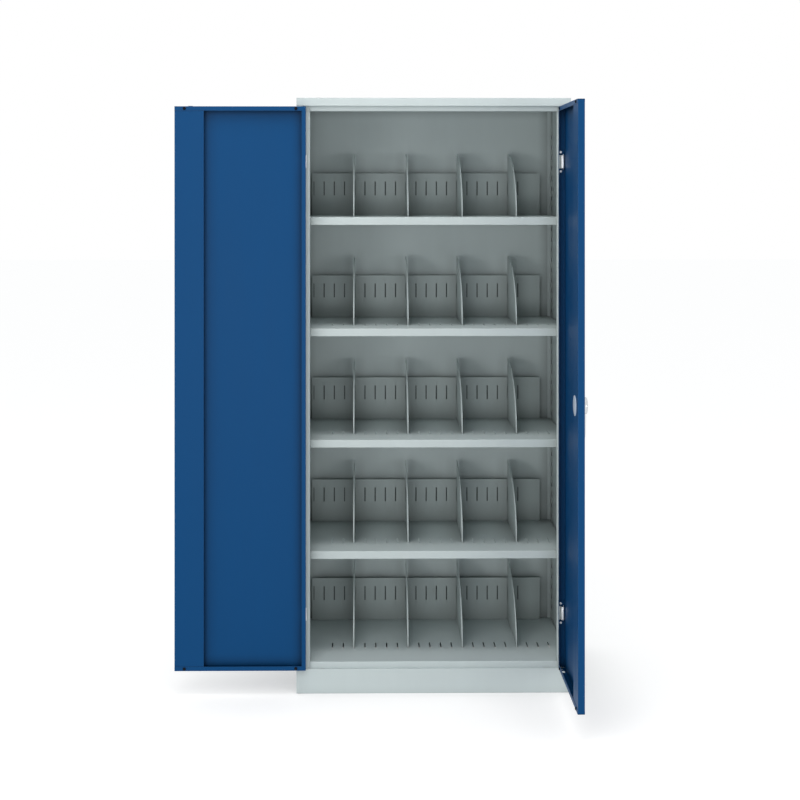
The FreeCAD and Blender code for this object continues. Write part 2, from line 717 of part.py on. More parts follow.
def make_shelf_clips():
    """Sixteen clips in the rails' notches, four under each shelf."""
    clips = []
    for hand in (-1, 1):
        pattern = new_body(f"clip_pattern_{'left' if hand < 0 else 'right'}")
        high = "(notch_tall / 2 - clip_gap)"
        behind = f"({RAIL_FACE} - wall - clip_gap)"
        tongue = ("wall + clip_gap", "notch_deep - clip_gap")
        nose = rectangle(*tongue, f"-{high} - clip_nose", high)
        pad(pattern, "X", [nose], *side_span(hand, f"{behind} - clip_sheet", behind))
        through = rectangle(*tongue, f"-{high}", high)
        pad(pattern, "X", [through], *side_span(hand, behind, f"{RAIL_FACE} + clip_sheet"))
        back = rectangle("0", "clip_wide", f"-{high}", high)
        pad(pattern, "X", [back], *side_span(hand, RAIL_FACE, f"{RAIL_FACE} + clip_sheet"))
        seat = "(notch_drop - shelf_flange)"
        ledge = rectangle("0", "clip_wide", f"{seat} - clip_sheet", seat)
        pad(pattern, "X", [ledge], *side_span(hand, RAIL_FACE, f"{RAIL_FACE} + clip_reach"))
        for level in LEVELS[1:]:
            for depth in ("rail_front", "rail_rear"):
                height = size(f"{level_top(level)} - notch_drop")
                clips.append(moved(pattern.Shape, Vector(0, size(depth), height)))
    return group("shelf_clips", clips)


# Hinges

HINGE_SLOT_HALF = "(arm_tall / 2 + hinge_slot_gap)"
PIN_Y = "(pin_depth - door_proud)"
PIN_SIDE = "(stile_face + door_side_gap + pin_edge)"


def hinge_heights():
    return f"({DOOR_FOOT} + hinge_end)", f"({DOOR_TOP} - hinge_end)"


def make_hinge_arms(hand, label):
    """Gooseneck arms, welded behind the post's front sheet, with the knuckles."""
    pattern = new_body(f"{label}_pattern")
    rear = "(door_proud - pin_depth + wall + arm_sheet)"
    line = [
        ("0", "-knuckle_radius"),
        ("arm_reach", "-knuckle_radius", "arm_bend"),
        ("arm_reach", rear, "arm_bend"),
        ("-arm_inside", rear),
    ]
    placed = [(f"{-hand} * {x}", *rest) for x, *rest in line]
    half, tall = "-arm_tall / 2", "arm_tall"
    pad(pattern, "Z", [folded(placed, "arm_sheet", -hand)], half, tall)
    pad(pattern, "Z", [("0", "0", "knuckle_radius")], half, tall)
    cut(pattern, "Z", [("0", "0", "pin_radius + pin_clearance")], half, tall)
    arms = []
    for height in hinge_heights():
        place = Vector(size(side_x(hand, PIN_SIDE)), size(PIN_Y), size(height))
        arms.append(moved(pattern.Shape, place))
    return group(label, arms)


# Doors, drawn closed from the axis of their hinge pins, and then turned open


def door_x(hand, inward):
    """X, from the pin's axis, of a place that lies inward from the hinge edge."""
    return f"{-hand} * (({inward}) - pin_edge)"


def door_y(depth):
    """Y, from the pin's axis, of a depth behind the door's outer face."""
    return f"({depth}) - pin_depth"


def door_span(hand, near, far):
    start = door_x(hand, near if hand < 0 else far)
    return start, f"({far}) - ({near})"


def door_rectangle(hand, near, far, front, rear):
    return rectangle(door_x(hand, near), door_x(hand, far), door_y(front), door_y(rear))


def door_placement(hand):
    angle = -size("left_open") if hand < 0 else size("right_open")
    pin = Vector(size(side_x(hand, PIN_SIDE)), size(PIN_Y), 0)
    return FreeCAD.Placement(pin, Rotation(Vector(0, 0, 1), angle))


def make_door_skin(hand, label):
    """Door pan: outer sheet, four edges and the inner lips."""
    body = new_body(label)
    inner = "(door_deep - 2 * door_sheet)"
    line = [
        ("door_lip", "door_deep"),
        ("0", "door_deep"),
        ("0", "0", "bend"),
        ("door_wide", "0", "bend"),
        ("door_wide", inner),
    ]
    placed = [(door_x(hand, inward), door_y(depth), *fold) for inward, depth, *fold in line]
    corner = "(bend + door_sheet)"
    start, length = f"{DOOR_FOOT} + {corner}", f"{DOOR_TOP} - {DOOR_FOOT} - 2 * {corner}"
    pad(body, "Z", [folded(placed, "door_sheet", -hand)], start, length)
    for end, way in ((DOOR_FOOT, 1), (DOOR_TOP, -1)):
        line = [("0", "end_overlap"), ("0", "0", "bend"), ("door_deep", "0"), ("door_deep", "door_end_lip")]
        placed = [(door_y(depth), f"{end} + {way} * {height}", *fold) for depth, height, *fold in line]
        pad(body, "X", [folded(placed, "door_sheet", way)], *door_span(hand, "0", "door_wide"))
    slots = []
    for height in hinge_heights():
        low, high = f"{height} - {HINGE_SLOT_HALF}", f"{height} + {HINGE_SLOT_HALF}"
        rear = "door_deep - hinge_slot_rear"
        slots.append(rectangle(door_y("hinge_slot_front"), door_y(rear), low, high))
    cut(body, "X", slots, *door_span(hand, "0", "door_sheet"))
    drain_rear = "drain_front + drain_deep"
    drain = door_rectangle(hand, "drain_side", "drain_side + drain_long", "drain_front", drain_rear)
    pilot_front = "drain_front + (drain_deep - pilot_long) / 2"
    pilot_rear = f"{pilot_front} + pilot_long"
    pilot = door_rectangle(hand, "pilot_side", "pilot_side + pilot_long", pilot_front, pilot_rear)
    cut(body, "Z", [drain, pilot], DOOR_FOOT, "door_sheet")
    if hand < 0:
        far = "door_wide - lug_side"
        front = "(door_deep - lug_deep) / 2"
        lug = door_rectangle(hand, f"{far} - lug_wide", far, front, f"{front} + lug_deep")
        pad(body, "Z", [lug], f"{DOOR_TOP} - door_sheet / 2", "lug_tall + door_sheet / 2")
    else:
        cut(body, "Z", [rod_hole("upper")], f"{DOOR_TOP} - door_sheet", "door_sheet")
        cut(body, "Z", [rod_hole("lower")], DOOR_FOOT, "door_sheet")
        spindle = (door_x(hand, LOCK_SIDE), "lock_height", "spindle_hole")
        cut(body, "Y", [spindle], door_y("0"), "door_sheet")
    body.Placement = door_placement(hand)
    return body


def make_door_profile(hand, label):
    """Box profile that stiffens the free edge, between the door's two ends."""
    body = new_body(label)
    near = "door_wide - profile_wide"
    face = "door_deep - door_sheet"
    line = [(near, "door_sheet"), (near, face), ("door_wide", face)]
    placed = [(door_x(hand, inward), door_y(depth)) for inward, depth in line]
    end = "(door_sheet + bend)"
    start = f"{DOOR_FOOT} + {end}"
    length = f"{DOOR_TOP} - {DOOR_FOOT} - 2 * {end}"
    pad(body, "Z", [folded(placed, "door_sheet", hand)], start, length)
    body.Placement = door_placement(hand)
    return body


def make_hinge_brackets(hand, label):
    """Brackets inside the doors' edges, each with two ears that hold the pin."""
    pattern = new_body(f"{label}_pattern")
    plate_rear = "door_deep - hinge_slot_rear"
    half = "bracket_tall / 2"
    fold = "door_sheet + bend"
    plate = rectangle(door_y(fold), door_y(plate_rear), f"-{half}", half)
    plate_far = "door_sheet + bracket_sheet"
    pad(pattern, "X", [plate], *door_span(hand, "door_sheet", plate_far))
    ear_far = "pin_edge + ear_reach"
    web = door_rectangle(hand, fold, ear_far, "door_sheet", "hinge_slot_front")
    pad(pattern, "Z", [web], f"-{half}", "bracket_tall")
    sides = (door_y("hinge_slot_front"), door_y(plate_rear))
    slot = rectangle(*sides, f"-{HINGE_SLOT_HALF}", HINGE_SLOT_HALF)
    cut(pattern, "X", [slot], *door_span(hand, "door_sheet", ear_far))
    for way in (-1, 1):
        near = "(arm_tall / 2 + ear_gap)"
        start = near if way > 0 else f"-{near} - bracket_sheet"
        ear = door_rectangle(hand, "door_sheet", ear_far, "hinge_slot_front", "pin_depth + ear_reach")
        pad(pattern, "Z", [ear], start, "bracket_sheet")
    full = "(arm_tall / 2 + ear_gap + bracket_sheet)"
    cut(pattern, "Z", [("0", "0", "pin_radius")], f"-{full}", f"2 * {full}")
    parts = [moved(pattern.Shape, Vector(0, 0, size(height))) for height in hinge_heights()]
    feature = group(label, parts)
    feature.Placement = door_placement(hand)
    return feature


def make_hinge_pins(hand, label):
    pattern = new_body(f"{label}_pattern")
    top = "(arm_tall / 2 + ear_gap + bracket_sheet)"
    pad(pattern, "Z", [("0", "0", "pin_radius")], f"-{top} - pin_tail", f"2 * ({top} + pin_tail)")
    parts = [moved(pattern.Shape, Vector(0, 0, size(height))) for height in hinge_heights()]
    feature = group(label, parts)
    feature.Placement = door_placement(hand)
    return feature


def make_hinge_screws(hand, label):
    """Screw heads that hold the brackets to the doors' edges."""
    pattern = new_body(f"{label}_pattern")
    near = "door_sheet + bracket_sheet"
    far = f"{near} + screw_head_tall"
    hexagon = []
    for number in range(6):
        turn = math.radians(60 * number)
        corner = (f"screw_head * {math.cos(turn):.6f}", f"screw_head * {math.sin(turn):.6f}")
        hexagon.append((*corner, None))
    pad(pattern, "X", [hexagon], *door_span(hand, near, far))
    parts = []
    for height in hinge_heights():
        for way in (-1, 1):
            place = Vector(0, size(door_y("screw_depth")), size(f"{height} + {way} * screw_pitch / 2"))
            parts.append(moved(pattern.Shape, place))
    feature = group(label, parts)
    feature.Placement = door_placement(hand)
    return feature


def make_buffers(hand, label):
    """Round rubber buffers near the four corners of a door's inner side."""
    inward = Vector(0, 1, 0)
    pattern = Part.makeCylinder(size("buffer_radius"), size("buffer_tall"), Vector(), inward)
    parts = []
    for side in ("buffer_side", "door_wide - buffer_side"):
        for height in (f"{DOOR_FOOT} + door_end_lip / 2", f"{DOOR_TOP} - door_end_lip / 2"):
            x, y = size(door_x(hand, side)), size(door_y("door_deep"))
            parts.append(moved(pattern, Vector(x, y, size(height))))
    feature = group(label, parts)
    feature.Placement = door_placement(hand)
    return feature


# Lock in the right door: handle, pinion and two rods with racks

LOCK_SIDE = "(door_wide - lock_side)"
PITCH_RADIUS = "(gear_module * gear_teeth / 2)"
ROD_REAR = "(door_deep - 2 * door_sheet - rod_rear_gap)"
ROD_FRONT = "(door_deep - 2 * door_sheet - rod_rear_gap - rod_sheet)"
ROD_NEAR = f"({PITCH_RADIUS} + (tooth_root + root_room) * gear_module)"
# The rod that goes up lies on the hinge's side of the lock, the other on the free side
RODS = {"upper": -1, "lower": 1}


def rod_span(which):
    """Distances of a rod's two long sides from the hinge edge."""
    way = RODS[which]
    sides = (f"{LOCK_SIDE} + {way} * {ROD_NEAR}", f"{LOCK_SIDE} + {way} * ({ROD_NEAR} + rod_wide)")
    return sides if way > 0 else sides[::-1]


def rod_hole(which):
    """Hole for a rod in the end of the right door."""
    near, far = rod_span(which)
    gap = "rod_hole_gap"
    front, rear = f"{ROD_FRONT} - {gap}", f"{ROD_REAR} + {gap}"
    return door_rectangle(1, f"{near} - {gap}", f"{far} + {gap}", front, rear)


def keeper_outline(which):
    """Hole in the ledge that a rod shoots into, in the carcass's own frame."""
    near, far = rod_span(which)
    edge = "stile_face + door_side_gap"
    left = side_x(1, f"{edge} + {far} + rod_hole_gap")
    right = side_x(1, f"{edge} + {near} - rod_hole_gap")
    front = f"{ROD_FRONT} - door_proud - rod_hole_gap"
    return rectangle(left, right, front, f"{ROD_REAR} - door_proud + rod_hole_gap")


def lock_feature(label, shape):
    """Part drawn about the lock's axis: x towards the hinge, y inward, z up."""
    centre = Vector(size(door_x(1, LOCK_SIDE)), size(door_y("0")), size("lock_height"))
    placement = door_placement(1).multiply(FreeCAD.Placement(centre, Rotation()))
    return placed_feature(label, shape, placement)


def turned(profile):
    """Solid turned about the lock's axis from (radius, depth) corners."""
    points = [Vector(radius, depth, 0) for radius, depth in profile]
    face = Part.Face(Part.makePolygon(points + points[:1]))
    return face.revolve(Vector(), Vector(0, 1, 0), 360)


def make_rose():
    hole = size("spindle_hole")
    outer, tall = size("rose_radius"), size("rose_tall")
    profile = [(hole, 0), (outer, 0), (outer, -tall), (hole, -tall)]
    return lock_feature("handle_rose", turned(profile))


def lever_shape():
    """Lever that tapers in width and in thickness from the hub to its tip."""
    half, tip = size("lever_wide") / 2, size("lever_tip_radius")
    long = size("lever_long") - tip
    near = -size("rose_tall + turn_gap")
    lean = math.asin((half - tip) / long)
    side = Vector(tip * math.cos(lean), 0, -long)
    left = Vector(-side.x, 0, side.z)
    arc = Part.Arc(side, Vector(0, 0, -long - tip), left).toShape()
    edges = [
        Part.makeLine(Vector(-half, 0, 0), Vector(half, 0, 0)),
        Part.makeLine(Vector(half, 0, 0), side),
        arc,
        Part.makeLine(left, Vector(-half, 0, 0)),
    ]
    face = Part.Face(Part.Wire(edges))
    lever = face.extrude(Vector(0, -size("lever_proud"), 0))
    high, low, deep = size("lever_proud"), size("lever_tip_proud"), 2 * size("lever_proud")
    bottom = -long - tip
    side_view = [(near, 0), (-high, 0), (-low, bottom), (near, bottom)]
    points = [Vector(-deep, depth, height) for depth, height in side_view]
    wedge = Part.Face(Part.makePolygon(points + points[:1])).extrude(Vector(2 * deep, 0, 0))
    return lever.common(wedge)


def make_handle():
    """Turn handle with its hub, the bore for the cylinder and the square spindle."""
    hub, edge = size("hub_radius"), size("hub_chamfer")
    near, face = size("rose_tall + turn_gap"), size("hub_proud")
    bore = size("cylinder_radius + pin_clearance")
    depth = size("cylinder_long - cylinder_proud")
    rim = [(hub, edge - face), (hub - edge, -face)]
    profile = [(0, -near), (hub, -near)] + rim + [(bore, -face), (bore, depth - face), (0, depth - face)]
    shape = turned(profile)
    hole = Part.makeCylinder(bore, depth, Vector(0, -face, 0), Vector(0, 1, 0))
    shape = shape.fuse(lever_shape().cut(hole))
    across = size("spindle")
    back = size(f"{ROD_REAR} + turn_gap")
    corner = Vector(-across / 2, -near, -across / 2)
    shape = shape.fuse(Part.makeBox(across, back + near, across, corner)).removeSplitter()
    return lock_feature("turn_handle", shape)


def make_cylinder():
    radius, long = size("cylinder_radius"), size("cylinder_long - turn_gap")
    face = -size("hub_proud + cylinder_proud")
    shape = Part.makeCylinder(radius, long, Vector(0, face, 0), Vector(0, 1, 0))
    wide, tall = size("keyway_wide"), size("keyway_long")
    corner = Vector(-wide / 2, face, -tall / 2)
    shape = shape.cut(Part.makeBox(wide, size("keyway_deep"), tall, corner))
    return lock_feature("lock_cylinder", shape)


def tooth(half_pitch, tip, root):
    """Half widths of a straight-sided tooth at its root and tip, from that at the pitch."""
    lean = math.tan(math.radians(size("tooth_lean")))
    return half_pitch + root * lean, half_pitch - tip * lean


def make_pinion():
    """Pinion on the spindle, between the two racks."""
    module, count = size("gear_module"), int(size("gear_teeth"))
    radius = size(PITCH_RADIUS)
    half_pitch = (math.pi * module - 2 * size("gear_play")) / 4
    tip, root = size("tooth_tip") * module, size("tooth_root") * module
    wide, narrow = tooth(half_pitch, tip, root)
    points = []
    for number in range(count):
        middle = 2 * math.pi * number / count
        for across, out in ((-wide, -root), (-narrow, tip), (narrow, tip), (wide, -root)):
            reach = radius + out
            angle = middle + across / reach
            points.append(Vector(reach * math.cos(angle), 0, reach * math.sin(angle)))
    face = Part.Face(Part.makePolygon(points + points[:1]))
    shape = face.extrude(Vector(0, size("rod_sheet"), 0))
    shape.translate(Vector(0, size(ROD_FRONT), 0))
    across = size("spindle")
    through = size("door_deep")
    hole = Part.makeBox(across, through, across, Vector(-across / 2, 0, -across / 2))
    return lock_feature("lock_pinion", shape.cut(hole))


def make_rod(which):
    """Flat rod with a rack beside the pinion and a tip in the end of the door.

    Drawn for the rod that goes up, on the hinge's side of the lock; the one that goes
    down is the same turned half round about the lock's axis.
    """
    module = size("gear_module")
    pitch = math.pi * module
    near, far = size(ROD_NEAR), size(f"{ROD_NEAR} + rod_wide")
    half_pitch = (pitch - 2 * size("gear_play")) / 4
    tip, root = size("tooth_tip") * module, near - size(PITCH_RADIUS)
    wide, narrow = tooth(half_pitch, tip, root)
    first = -math.ceil((size("rod_travel") + 2 * pitch) / pitch)
    foot = (first - 0.5) * pitch - pitch / 4
    if which == "upper":
        top = size(f"{DOOR_TOP} - rod_end_gap - lock_height")
    else:
        top = size(f"lock_height - {DOOR_FOOT} - rod_end_gap")
    points = [(far, foot), (far, top), (near, top)]
    pitch_line = size(PITCH_RADIUS)
    for number in range(2, first - 1, -1):
        middle = (number - 0.5) * pitch
        points.append((near, middle + wide))
        points.append((pitch_line - tip, middle + narrow))
        points.append((pitch_line - tip, middle - narrow))
        points.append((near, middle - wide))
    points.append((near, foot))
    corners = [Vector(across, size(ROD_FRONT), up) for across, up in points]
    face = Part.Face(Part.makePolygon(corners + corners[:1]))
    shape = face.extrude(Vector(0, size("rod_sheet"), 0))
    if which == "lower":
        shape.rotate(Vector(), Vector(0, 1, 0), 180)
    return lock_feature(f"lock_rod_{which}", shape)


def channel(half_wide, front, rear, thick, tall, middle):
    """Channel across the door: two legs that run in from its back."""
    foot = middle - tall / 2
    outer = Part.makeBox(2 * half_wide, rear - front, tall, Vector(-half_wide, front, foot))
    inner_wide = half_wide - thick
    place = Vector(-inner_wide, front, foot)
    return outer.cut(Part.makeBox(2 * inner_wide, rear - front - thick, tall, place))


def make_lock_case():
    """Case that carries the rods beside the pinion, and a guide on each rod."""
    thick = size("case_sheet")
    half = size(f"{ROD_NEAR} + rod_wide + turn_gap") + thick
    rear = size(f"{ROD_FRONT} - turn_gap")
    case = channel(half, size("door_sheet"), rear, thick, size("case_tall"), 0)
    hole = Part.makeCylinder(size("spindle_hole"), 2 * rear, Vector(0, 0, 0), Vector(0, 1, 0))
    case = case.cut(hole)
    tall = size("case_tall")
    for x in (-half, half - thick):
        ear = Part.makeBox(thick, size("rod_sheet"), tall, Vector(x, rear - thick / 2, -tall / 2))
        case = case.fuse(ear)
    parts = [case.removeSplitter()]
    long = size("guide_long")
    box_face = size("door_deep - 2 * door_sheet")
    for which, way in RODS.items():
        end = size(f"{DOOR_TOP} - lock_height" if way < 0 else f"lock_height - {DOOR_FOOT}")
        middle = -way * size(f"{ROD_NEAR} + rod_wide / 2")
        guide_half = size("rod_wide / 2 + rod_hole_gap") + thick
        for share in (size("guide_middle"), size("guide_outer")):
            guide = channel(guide_half, 0, box_face - rear + thick, thick, long, 0)
            guide.rotate(Vector(), Vector(0, 0, 1), 180)
            place = Vector(middle, box_face, -way * share * end)
            parts.append(moved(guide, place))
    return lock_feature("lock_case", Part.Compound(parts))


def make_cover_disc():
    """Disc over the lock on the inner face of the box profile."""
    base = size("door_deep - door_sheet")
    radius, face = size("disc_radius"), base + size("disc_tall")
    profile = [(0, base), (radius, base), (radius, face), (0, face)]
    return lock_feature("lock_cover_disc", turned(profile))


# The whole cabinet

pieces = [
    make_side_panel(-1, "side_panel_left"),
    make_side_panel(1, "side_panel_right"),
    make_rack_rails(),
    make_back_panel(),
    make_top_panel(),
    make_floor_tray(),
    make_plinth_front(),
    make_plinth_rear(),
]
pieces += [make_shelf(level) for level in LEVELS[1:]]
pieces += [make_slotted_plate(level) for level in LEVELS]
pieces += make_dividers()
pieces.append(make_shelf_clips())
for hand, side in ((-1, "left"), (1, "right")):
    pieces.append(make_hinge_arms(hand, f"hinge_arms_{side}"))
    pieces.append(make_door_skin(hand, f"door_{side}_skin"))
    pieces.append(make_door_profile(hand, f"door_{side}_profile"))
    pieces.append(make_hinge_brackets(hand, f"hinge_brackets_{side}"))
    pieces.append(make_hinge_pins(hand, f"hinge_pins_{side}"))
    pieces.append(make_hinge_screws(hand, f"hinge_screws_{side}"))
    pieces.append(make_buffers(hand, f"door_{side}_buffers"))
pieces += [make_rose(), make_handle(), make_cylinder(), make_pinion()]
pieces += [make_rod("upper"), make_rod("lower"), make_lock_case(), make_cover_disc()]
doc.recompute()

for item in doc.Objects:
    if {"Invalid", "Error"} & set(item.State):
        raise ValueError(f"{item.Name} failed: {item.State}")
for piece in pieces:
    if piece.Shape.isNull() or not piece.Shape.isValid():
        raise ValueError(f"{piece.Label} has no valid shape")

os.makedirs("parts", exist_ok=True)
for piece in pieces:
    piece.Shape.exportStep(f"parts/{piece.Label}.step")
print(len(pieces), "pieces written")
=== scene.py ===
"""Finish, fittings and studio for a sheet-steel material cabinet.

Laid out as an add-on: sizes and colours are properties, each group of pieces has its
own operator, and a panel in the 3D view's sidebar lists them. Lengths are in metres,
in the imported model's own frame: X to the right, Y into the cabinet and Z up.
"""

import json
import math

import bmesh
import bpy
from mathutils import Matrix, Vector


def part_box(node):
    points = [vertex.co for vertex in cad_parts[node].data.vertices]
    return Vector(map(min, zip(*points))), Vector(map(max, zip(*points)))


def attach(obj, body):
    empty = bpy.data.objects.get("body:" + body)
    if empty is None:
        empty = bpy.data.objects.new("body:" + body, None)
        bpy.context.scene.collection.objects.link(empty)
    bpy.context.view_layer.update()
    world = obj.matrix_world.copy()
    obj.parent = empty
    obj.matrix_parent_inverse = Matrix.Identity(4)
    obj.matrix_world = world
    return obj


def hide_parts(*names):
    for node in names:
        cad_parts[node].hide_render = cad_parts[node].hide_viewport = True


bl_info = {
    "name": "Material cabinet finish",
    "version": (1, 0, 0),
    "blender": (4, 5, 0),
    "location": "3D View > Sidebar > Cabinet",
    "description": "Powder coat, rubber and metal fittings, and a pale studio, for a steel cabinet",
    "category": "Object",
}

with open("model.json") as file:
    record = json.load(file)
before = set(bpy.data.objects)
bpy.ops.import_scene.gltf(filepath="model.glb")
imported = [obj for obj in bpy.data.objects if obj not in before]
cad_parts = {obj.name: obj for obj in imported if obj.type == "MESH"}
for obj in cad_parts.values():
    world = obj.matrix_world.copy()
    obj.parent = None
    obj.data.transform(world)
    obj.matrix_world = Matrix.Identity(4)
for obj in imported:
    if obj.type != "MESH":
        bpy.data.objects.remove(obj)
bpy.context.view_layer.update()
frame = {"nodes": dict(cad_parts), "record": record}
NODES = frame["nodes"]

MM = 0.001
UP = Vector((0, 0, 1))
# Directions at rest: the left door is folded back and the right one stands at 90 degrees
INNER_SIDE = {"left": Vector((0, -1, 0)), "right": Vector((-1, 0, 0))}
FROM_HINGE = {"left": Vector((-1, 0, 0)), "right": Vector((0, -1, 0))}
OUTER_RIGHT = Vector((1, 0, 0))
# Sign of X from a front post towards the middle of the cabinet
INWARD = {"left": 1, "right": -1}


# Sizes and colours that a user would change


class CabinetPaint(bpy.types.PropertyGroup):
    """Colours and surface of the painted sheet."""

    body: bpy.props.FloatVectorProperty(
        name="Body", description="Powder coat of the carcass",
        subtype="COLOR", min=0, max=1, default=(0.580, 0.646, 0.646))
    inside: bpy.props.FloatVectorProperty(
        name="Inside", description="Powder coat of shelves, plates and dividers",
        subtype="COLOR", min=0, max=1, default=(0.560, 0.625, 0.620))
    doors: bpy.props.FloatVectorProperty(
        name="Doors", description="Powder coat of the doors",
        subtype="COLOR", min=0, max=1, default=(0.0010, 0.0580, 0.1800))
    gloss: bpy.props.FloatProperty(
        name="Roughness", description="Roughness of the powder coat",
        subtype="FACTOR", min=0.1, max=1, default=0.42)
    peel: bpy.props.FloatProperty(
        name="Peel size", description="Distance between the ripples of the powder coat",
        subtype="DISTANCE", unit="LENGTH", min=0.0002, max=0.01, default=0.0016)


class CabinetMetal(bpy.types.PropertyGroup):
    """Colours of the bare metal, rubber and plastic fittings."""

    zinc: bpy.props.FloatVectorProperty(
        name="Zinc", description="Zinc plate on hinges, clips and lock parts",
        subtype="COLOR", min=0, max=1, default=(0.76, 0.78, 0.80))
    chrome: bpy.props.FloatVectorProperty(
        name="Handle", description="Satin nickel of the handle and its rose",
        subtype="COLOR", min=0, max=1, default=(0.66, 0.67, 0.68))
    disc: bpy.props.FloatVectorProperty(
        name="Cover disc", description="Disc over the lock on the inside of the door",
        subtype="COLOR", min=0, max=1, default=(0.60, 0.68, 0.80))
    rubber: bpy.props.FloatVectorProperty(
        name="Rubber", description="Buffers on the doors",
        subtype="COLOR", min=0, max=1, default=(0.004, 0.005, 0.008))


class CabinetFittings(bpy.types.PropertyGroup):
    """Sizes of the small fittings."""

    washer: bpy.props.FloatProperty(
        name="Screw washer", description="Thickness of the washer under a hinge screw's head",
        subtype="DISTANCE", unit="LENGTH", min=0.0002, max=0.002, default=0.0006)
    socket: bpy.props.FloatProperty(
        name="Screw socket", description="Depth of the hexagon socket in a screw's head",
        subtype="DISTANCE", unit="LENGTH", min=0.0002, max=0.003, default=0.0011)
    groove: bpy.props.FloatProperty(
        name="Hinge groove", description="Width of the groove beside a hinge arm's knuckle",
        subtype="DISTANCE", unit="LENGTH", min=0.0005, max=0.004, default=0.0024)
    lever_edge: bpy.props.FloatProperty(
        name="Lever edge", description="Radius of the edges of the handle's lever",
        subtype="DISTANCE", unit="LENGTH", min=0.0002, max=0.004, default=0.0016)
    sides: bpy.props.IntProperty(
        name="Sides of round pieces", description="Sides of the round fittings",
        min=16, max=128, default=64)


class CabinetStudio(bpy.types.PropertyGroup):
    """Floor, lamps and camera."""

    floor: bpy.props.FloatProperty(
        name="Floor", description="Width and depth of the floor",
        subtype="DISTANCE", unit="LENGTH", min=5, max=200, default=60)
    key: bpy.props.FloatProperty(
        name="Key lamp", description="Power of the large lamp in front",
        subtype="POWER", unit="POWER", min=0, max=5000, default=41)
    top: bpy.props.FloatProperty(
        name="Top lamp",
        description="Power of the lamp over the doors, which lights the shelves' fronts",
        subtype="POWER", unit="POWER", min=0, max=5000, default=40)
    fill: bpy.props.FloatProperty(
        name="Fill lamp", description="Power of the lamp on the right",
        subtype="POWER", unit="POWER", min=0, max=5000, default=2)
    front: bpy.props.FloatProperty(
        name="Front lamps", description="Power of the three low lamps that light the inside",
        subtype="POWER", unit="POWER", min=0, max=5000, default=186)
    ambient: bpy.props.FloatProperty(
        name="Ambient", description="Strength of the light from all round",
        min=0, max=2, default=0.615)
    camera_place: bpy.props.FloatVectorProperty(
        name="Camera", description="Place of the camera",
        subtype="XYZ", unit="LENGTH", default=(-0.2277, -4.7437, 1.6445))
    camera_turn: bpy.props.FloatProperty(
        name="Turn", description="Turn of the camera to the right",
        subtype="ANGLE", unit="ROTATION", min=-1, max=1, default=0.01186)
    lens: bpy.props.FloatProperty(
        name="Lens", description="Focal length of the camera in millimetres",
        subtype="DISTANCE_CAMERA", unit="CAMERA", min=10, max=300, default=65.2)
    shift: bpy.props.FloatVectorProperty(
        name="Shift", description="Shift of the camera's frame",
        size=2, default=(0.0230, -0.2612))


SETTINGS = {
    "cabinet_paint": CabinetPaint,
    "cabinet_metal": CabinetMetal,
    "cabinet_fittings": CabinetFittings,
    "cabinet_studio": CabinetStudio,
}


def setting(group):
    return getattr(bpy.context.scene, group)


# Shader nodes


# What each finish group puts out
SURFACE = (
    ("Colour", "NodeSocketColor"),
    ("Roughness", "NodeSocketFloat"),
    ("Height", "NodeSocketFloat"),
)
# The colour sockets of a Mix node go by number, because other types share their names
MIX_SHARE, MIX_FIRST, MIX_SECOND, MIX_RESULT = 0, 6, 7, 2


def add_node(tree, kind, values=(), **properties):
    """Node with its properties and its inputs, which are given by name or number."""
    node = tree.nodes.new(kind)
    for name, value in properties.items():
        setattr(node, name, value)
    for name, value in dict(values).items():
        if isinstance(value, bpy.types.NodeSocket):
            tree.links.new(value, node.inputs[name])
        else:
            node.inputs[name].default_value = value
    return node


def new_group(name, inputs):
    """Empty finish group, with its inputs' output sockets and its outputs' input sockets."""
    tree = bpy.data.node_groups.new(name, "ShaderNodeTree")
    for label, kind, value in inputs:
        socket = tree.interface.new_socket(name=label, in_out="INPUT", socket_type=kind)
        socket.default_value = value
    for label, kind in SURFACE:
        tree.interface.new_socket(name=label, in_out="OUTPUT", socket_type=kind)
    entry = tree.nodes.new("NodeGroupInput")
    leave = tree.nodes.new("NodeGroupOutput")
    return tree, entry.outputs, leave.inputs


def object_place(tree):
    return add_node(tree, "ShaderNodeTexCoord").outputs["Object"]


def stretched(tree, scale):
    """Object coordinates, scaled along X, Y and Z."""
    place = object_place(tree)
    return add_node(tree, "ShaderNodeMapping", {"Vector": place, "Scale": scale}).outputs[0]


def noise(tree, vector, scale, detail=2.0, roughness=0.5):
    values = {"Vector": vector, "Scale": scale, "Detail": detail, "Roughness": roughness}
    return add_node(tree, "ShaderNodeTexNoise", values).outputs["Fac"]


def cells(tree, vector, scale):
    """Distance from the middle of each cell of a pattern."""
    values = {"Vector": vector, "Scale": scale}
    return add_node(tree, "ShaderNodeTexVoronoi", values).outputs["Distance"]


def remap(tree, value, source, target):
    """Value from one (low, high) range to another, held inside it."""
    values = {"Value": value}
    values.update(zip(("From Min", "From Max", "To Min", "To Max"), (*source, *target)))
    return add_node(tree, "ShaderNodeMapRange", values, clamp=True).outputs[0]


def calculate(tree, operation, first, second):
    return add_node(tree, "ShaderNodeMath", {0: first, 1: second}, operation=operation).outputs[0]


def mix_colours(tree, share, first, second, blend="MIX"):
    """Two colours, each a socket or a plain colour, mixed by a share of the second."""
    values = {MIX_SHARE: share}
    for socket, colour in ((MIX_FIRST, first), (MIX_SECOND, second)):
        linked = isinstance(colour, bpy.types.NodeSocket)
        values[socket] = colour if linked else (*colour[:3], 1)
    node = add_node(tree, "ShaderNodeMix", values, data_type="RGBA", blend_type=blend)
    return node.outputs[MIX_RESULT]


def toned(tree, colour, tone):
    """Colour made darker or lighter by a tone, which leaves it as it is at 1."""
    grey = add_node(tree, "ShaderNodeCombineColor", {0: tone, 1: tone, 2: tone}).outputs[0]
    return mix_colours(tree, 1.0, colour, grey, "MULTIPLY")


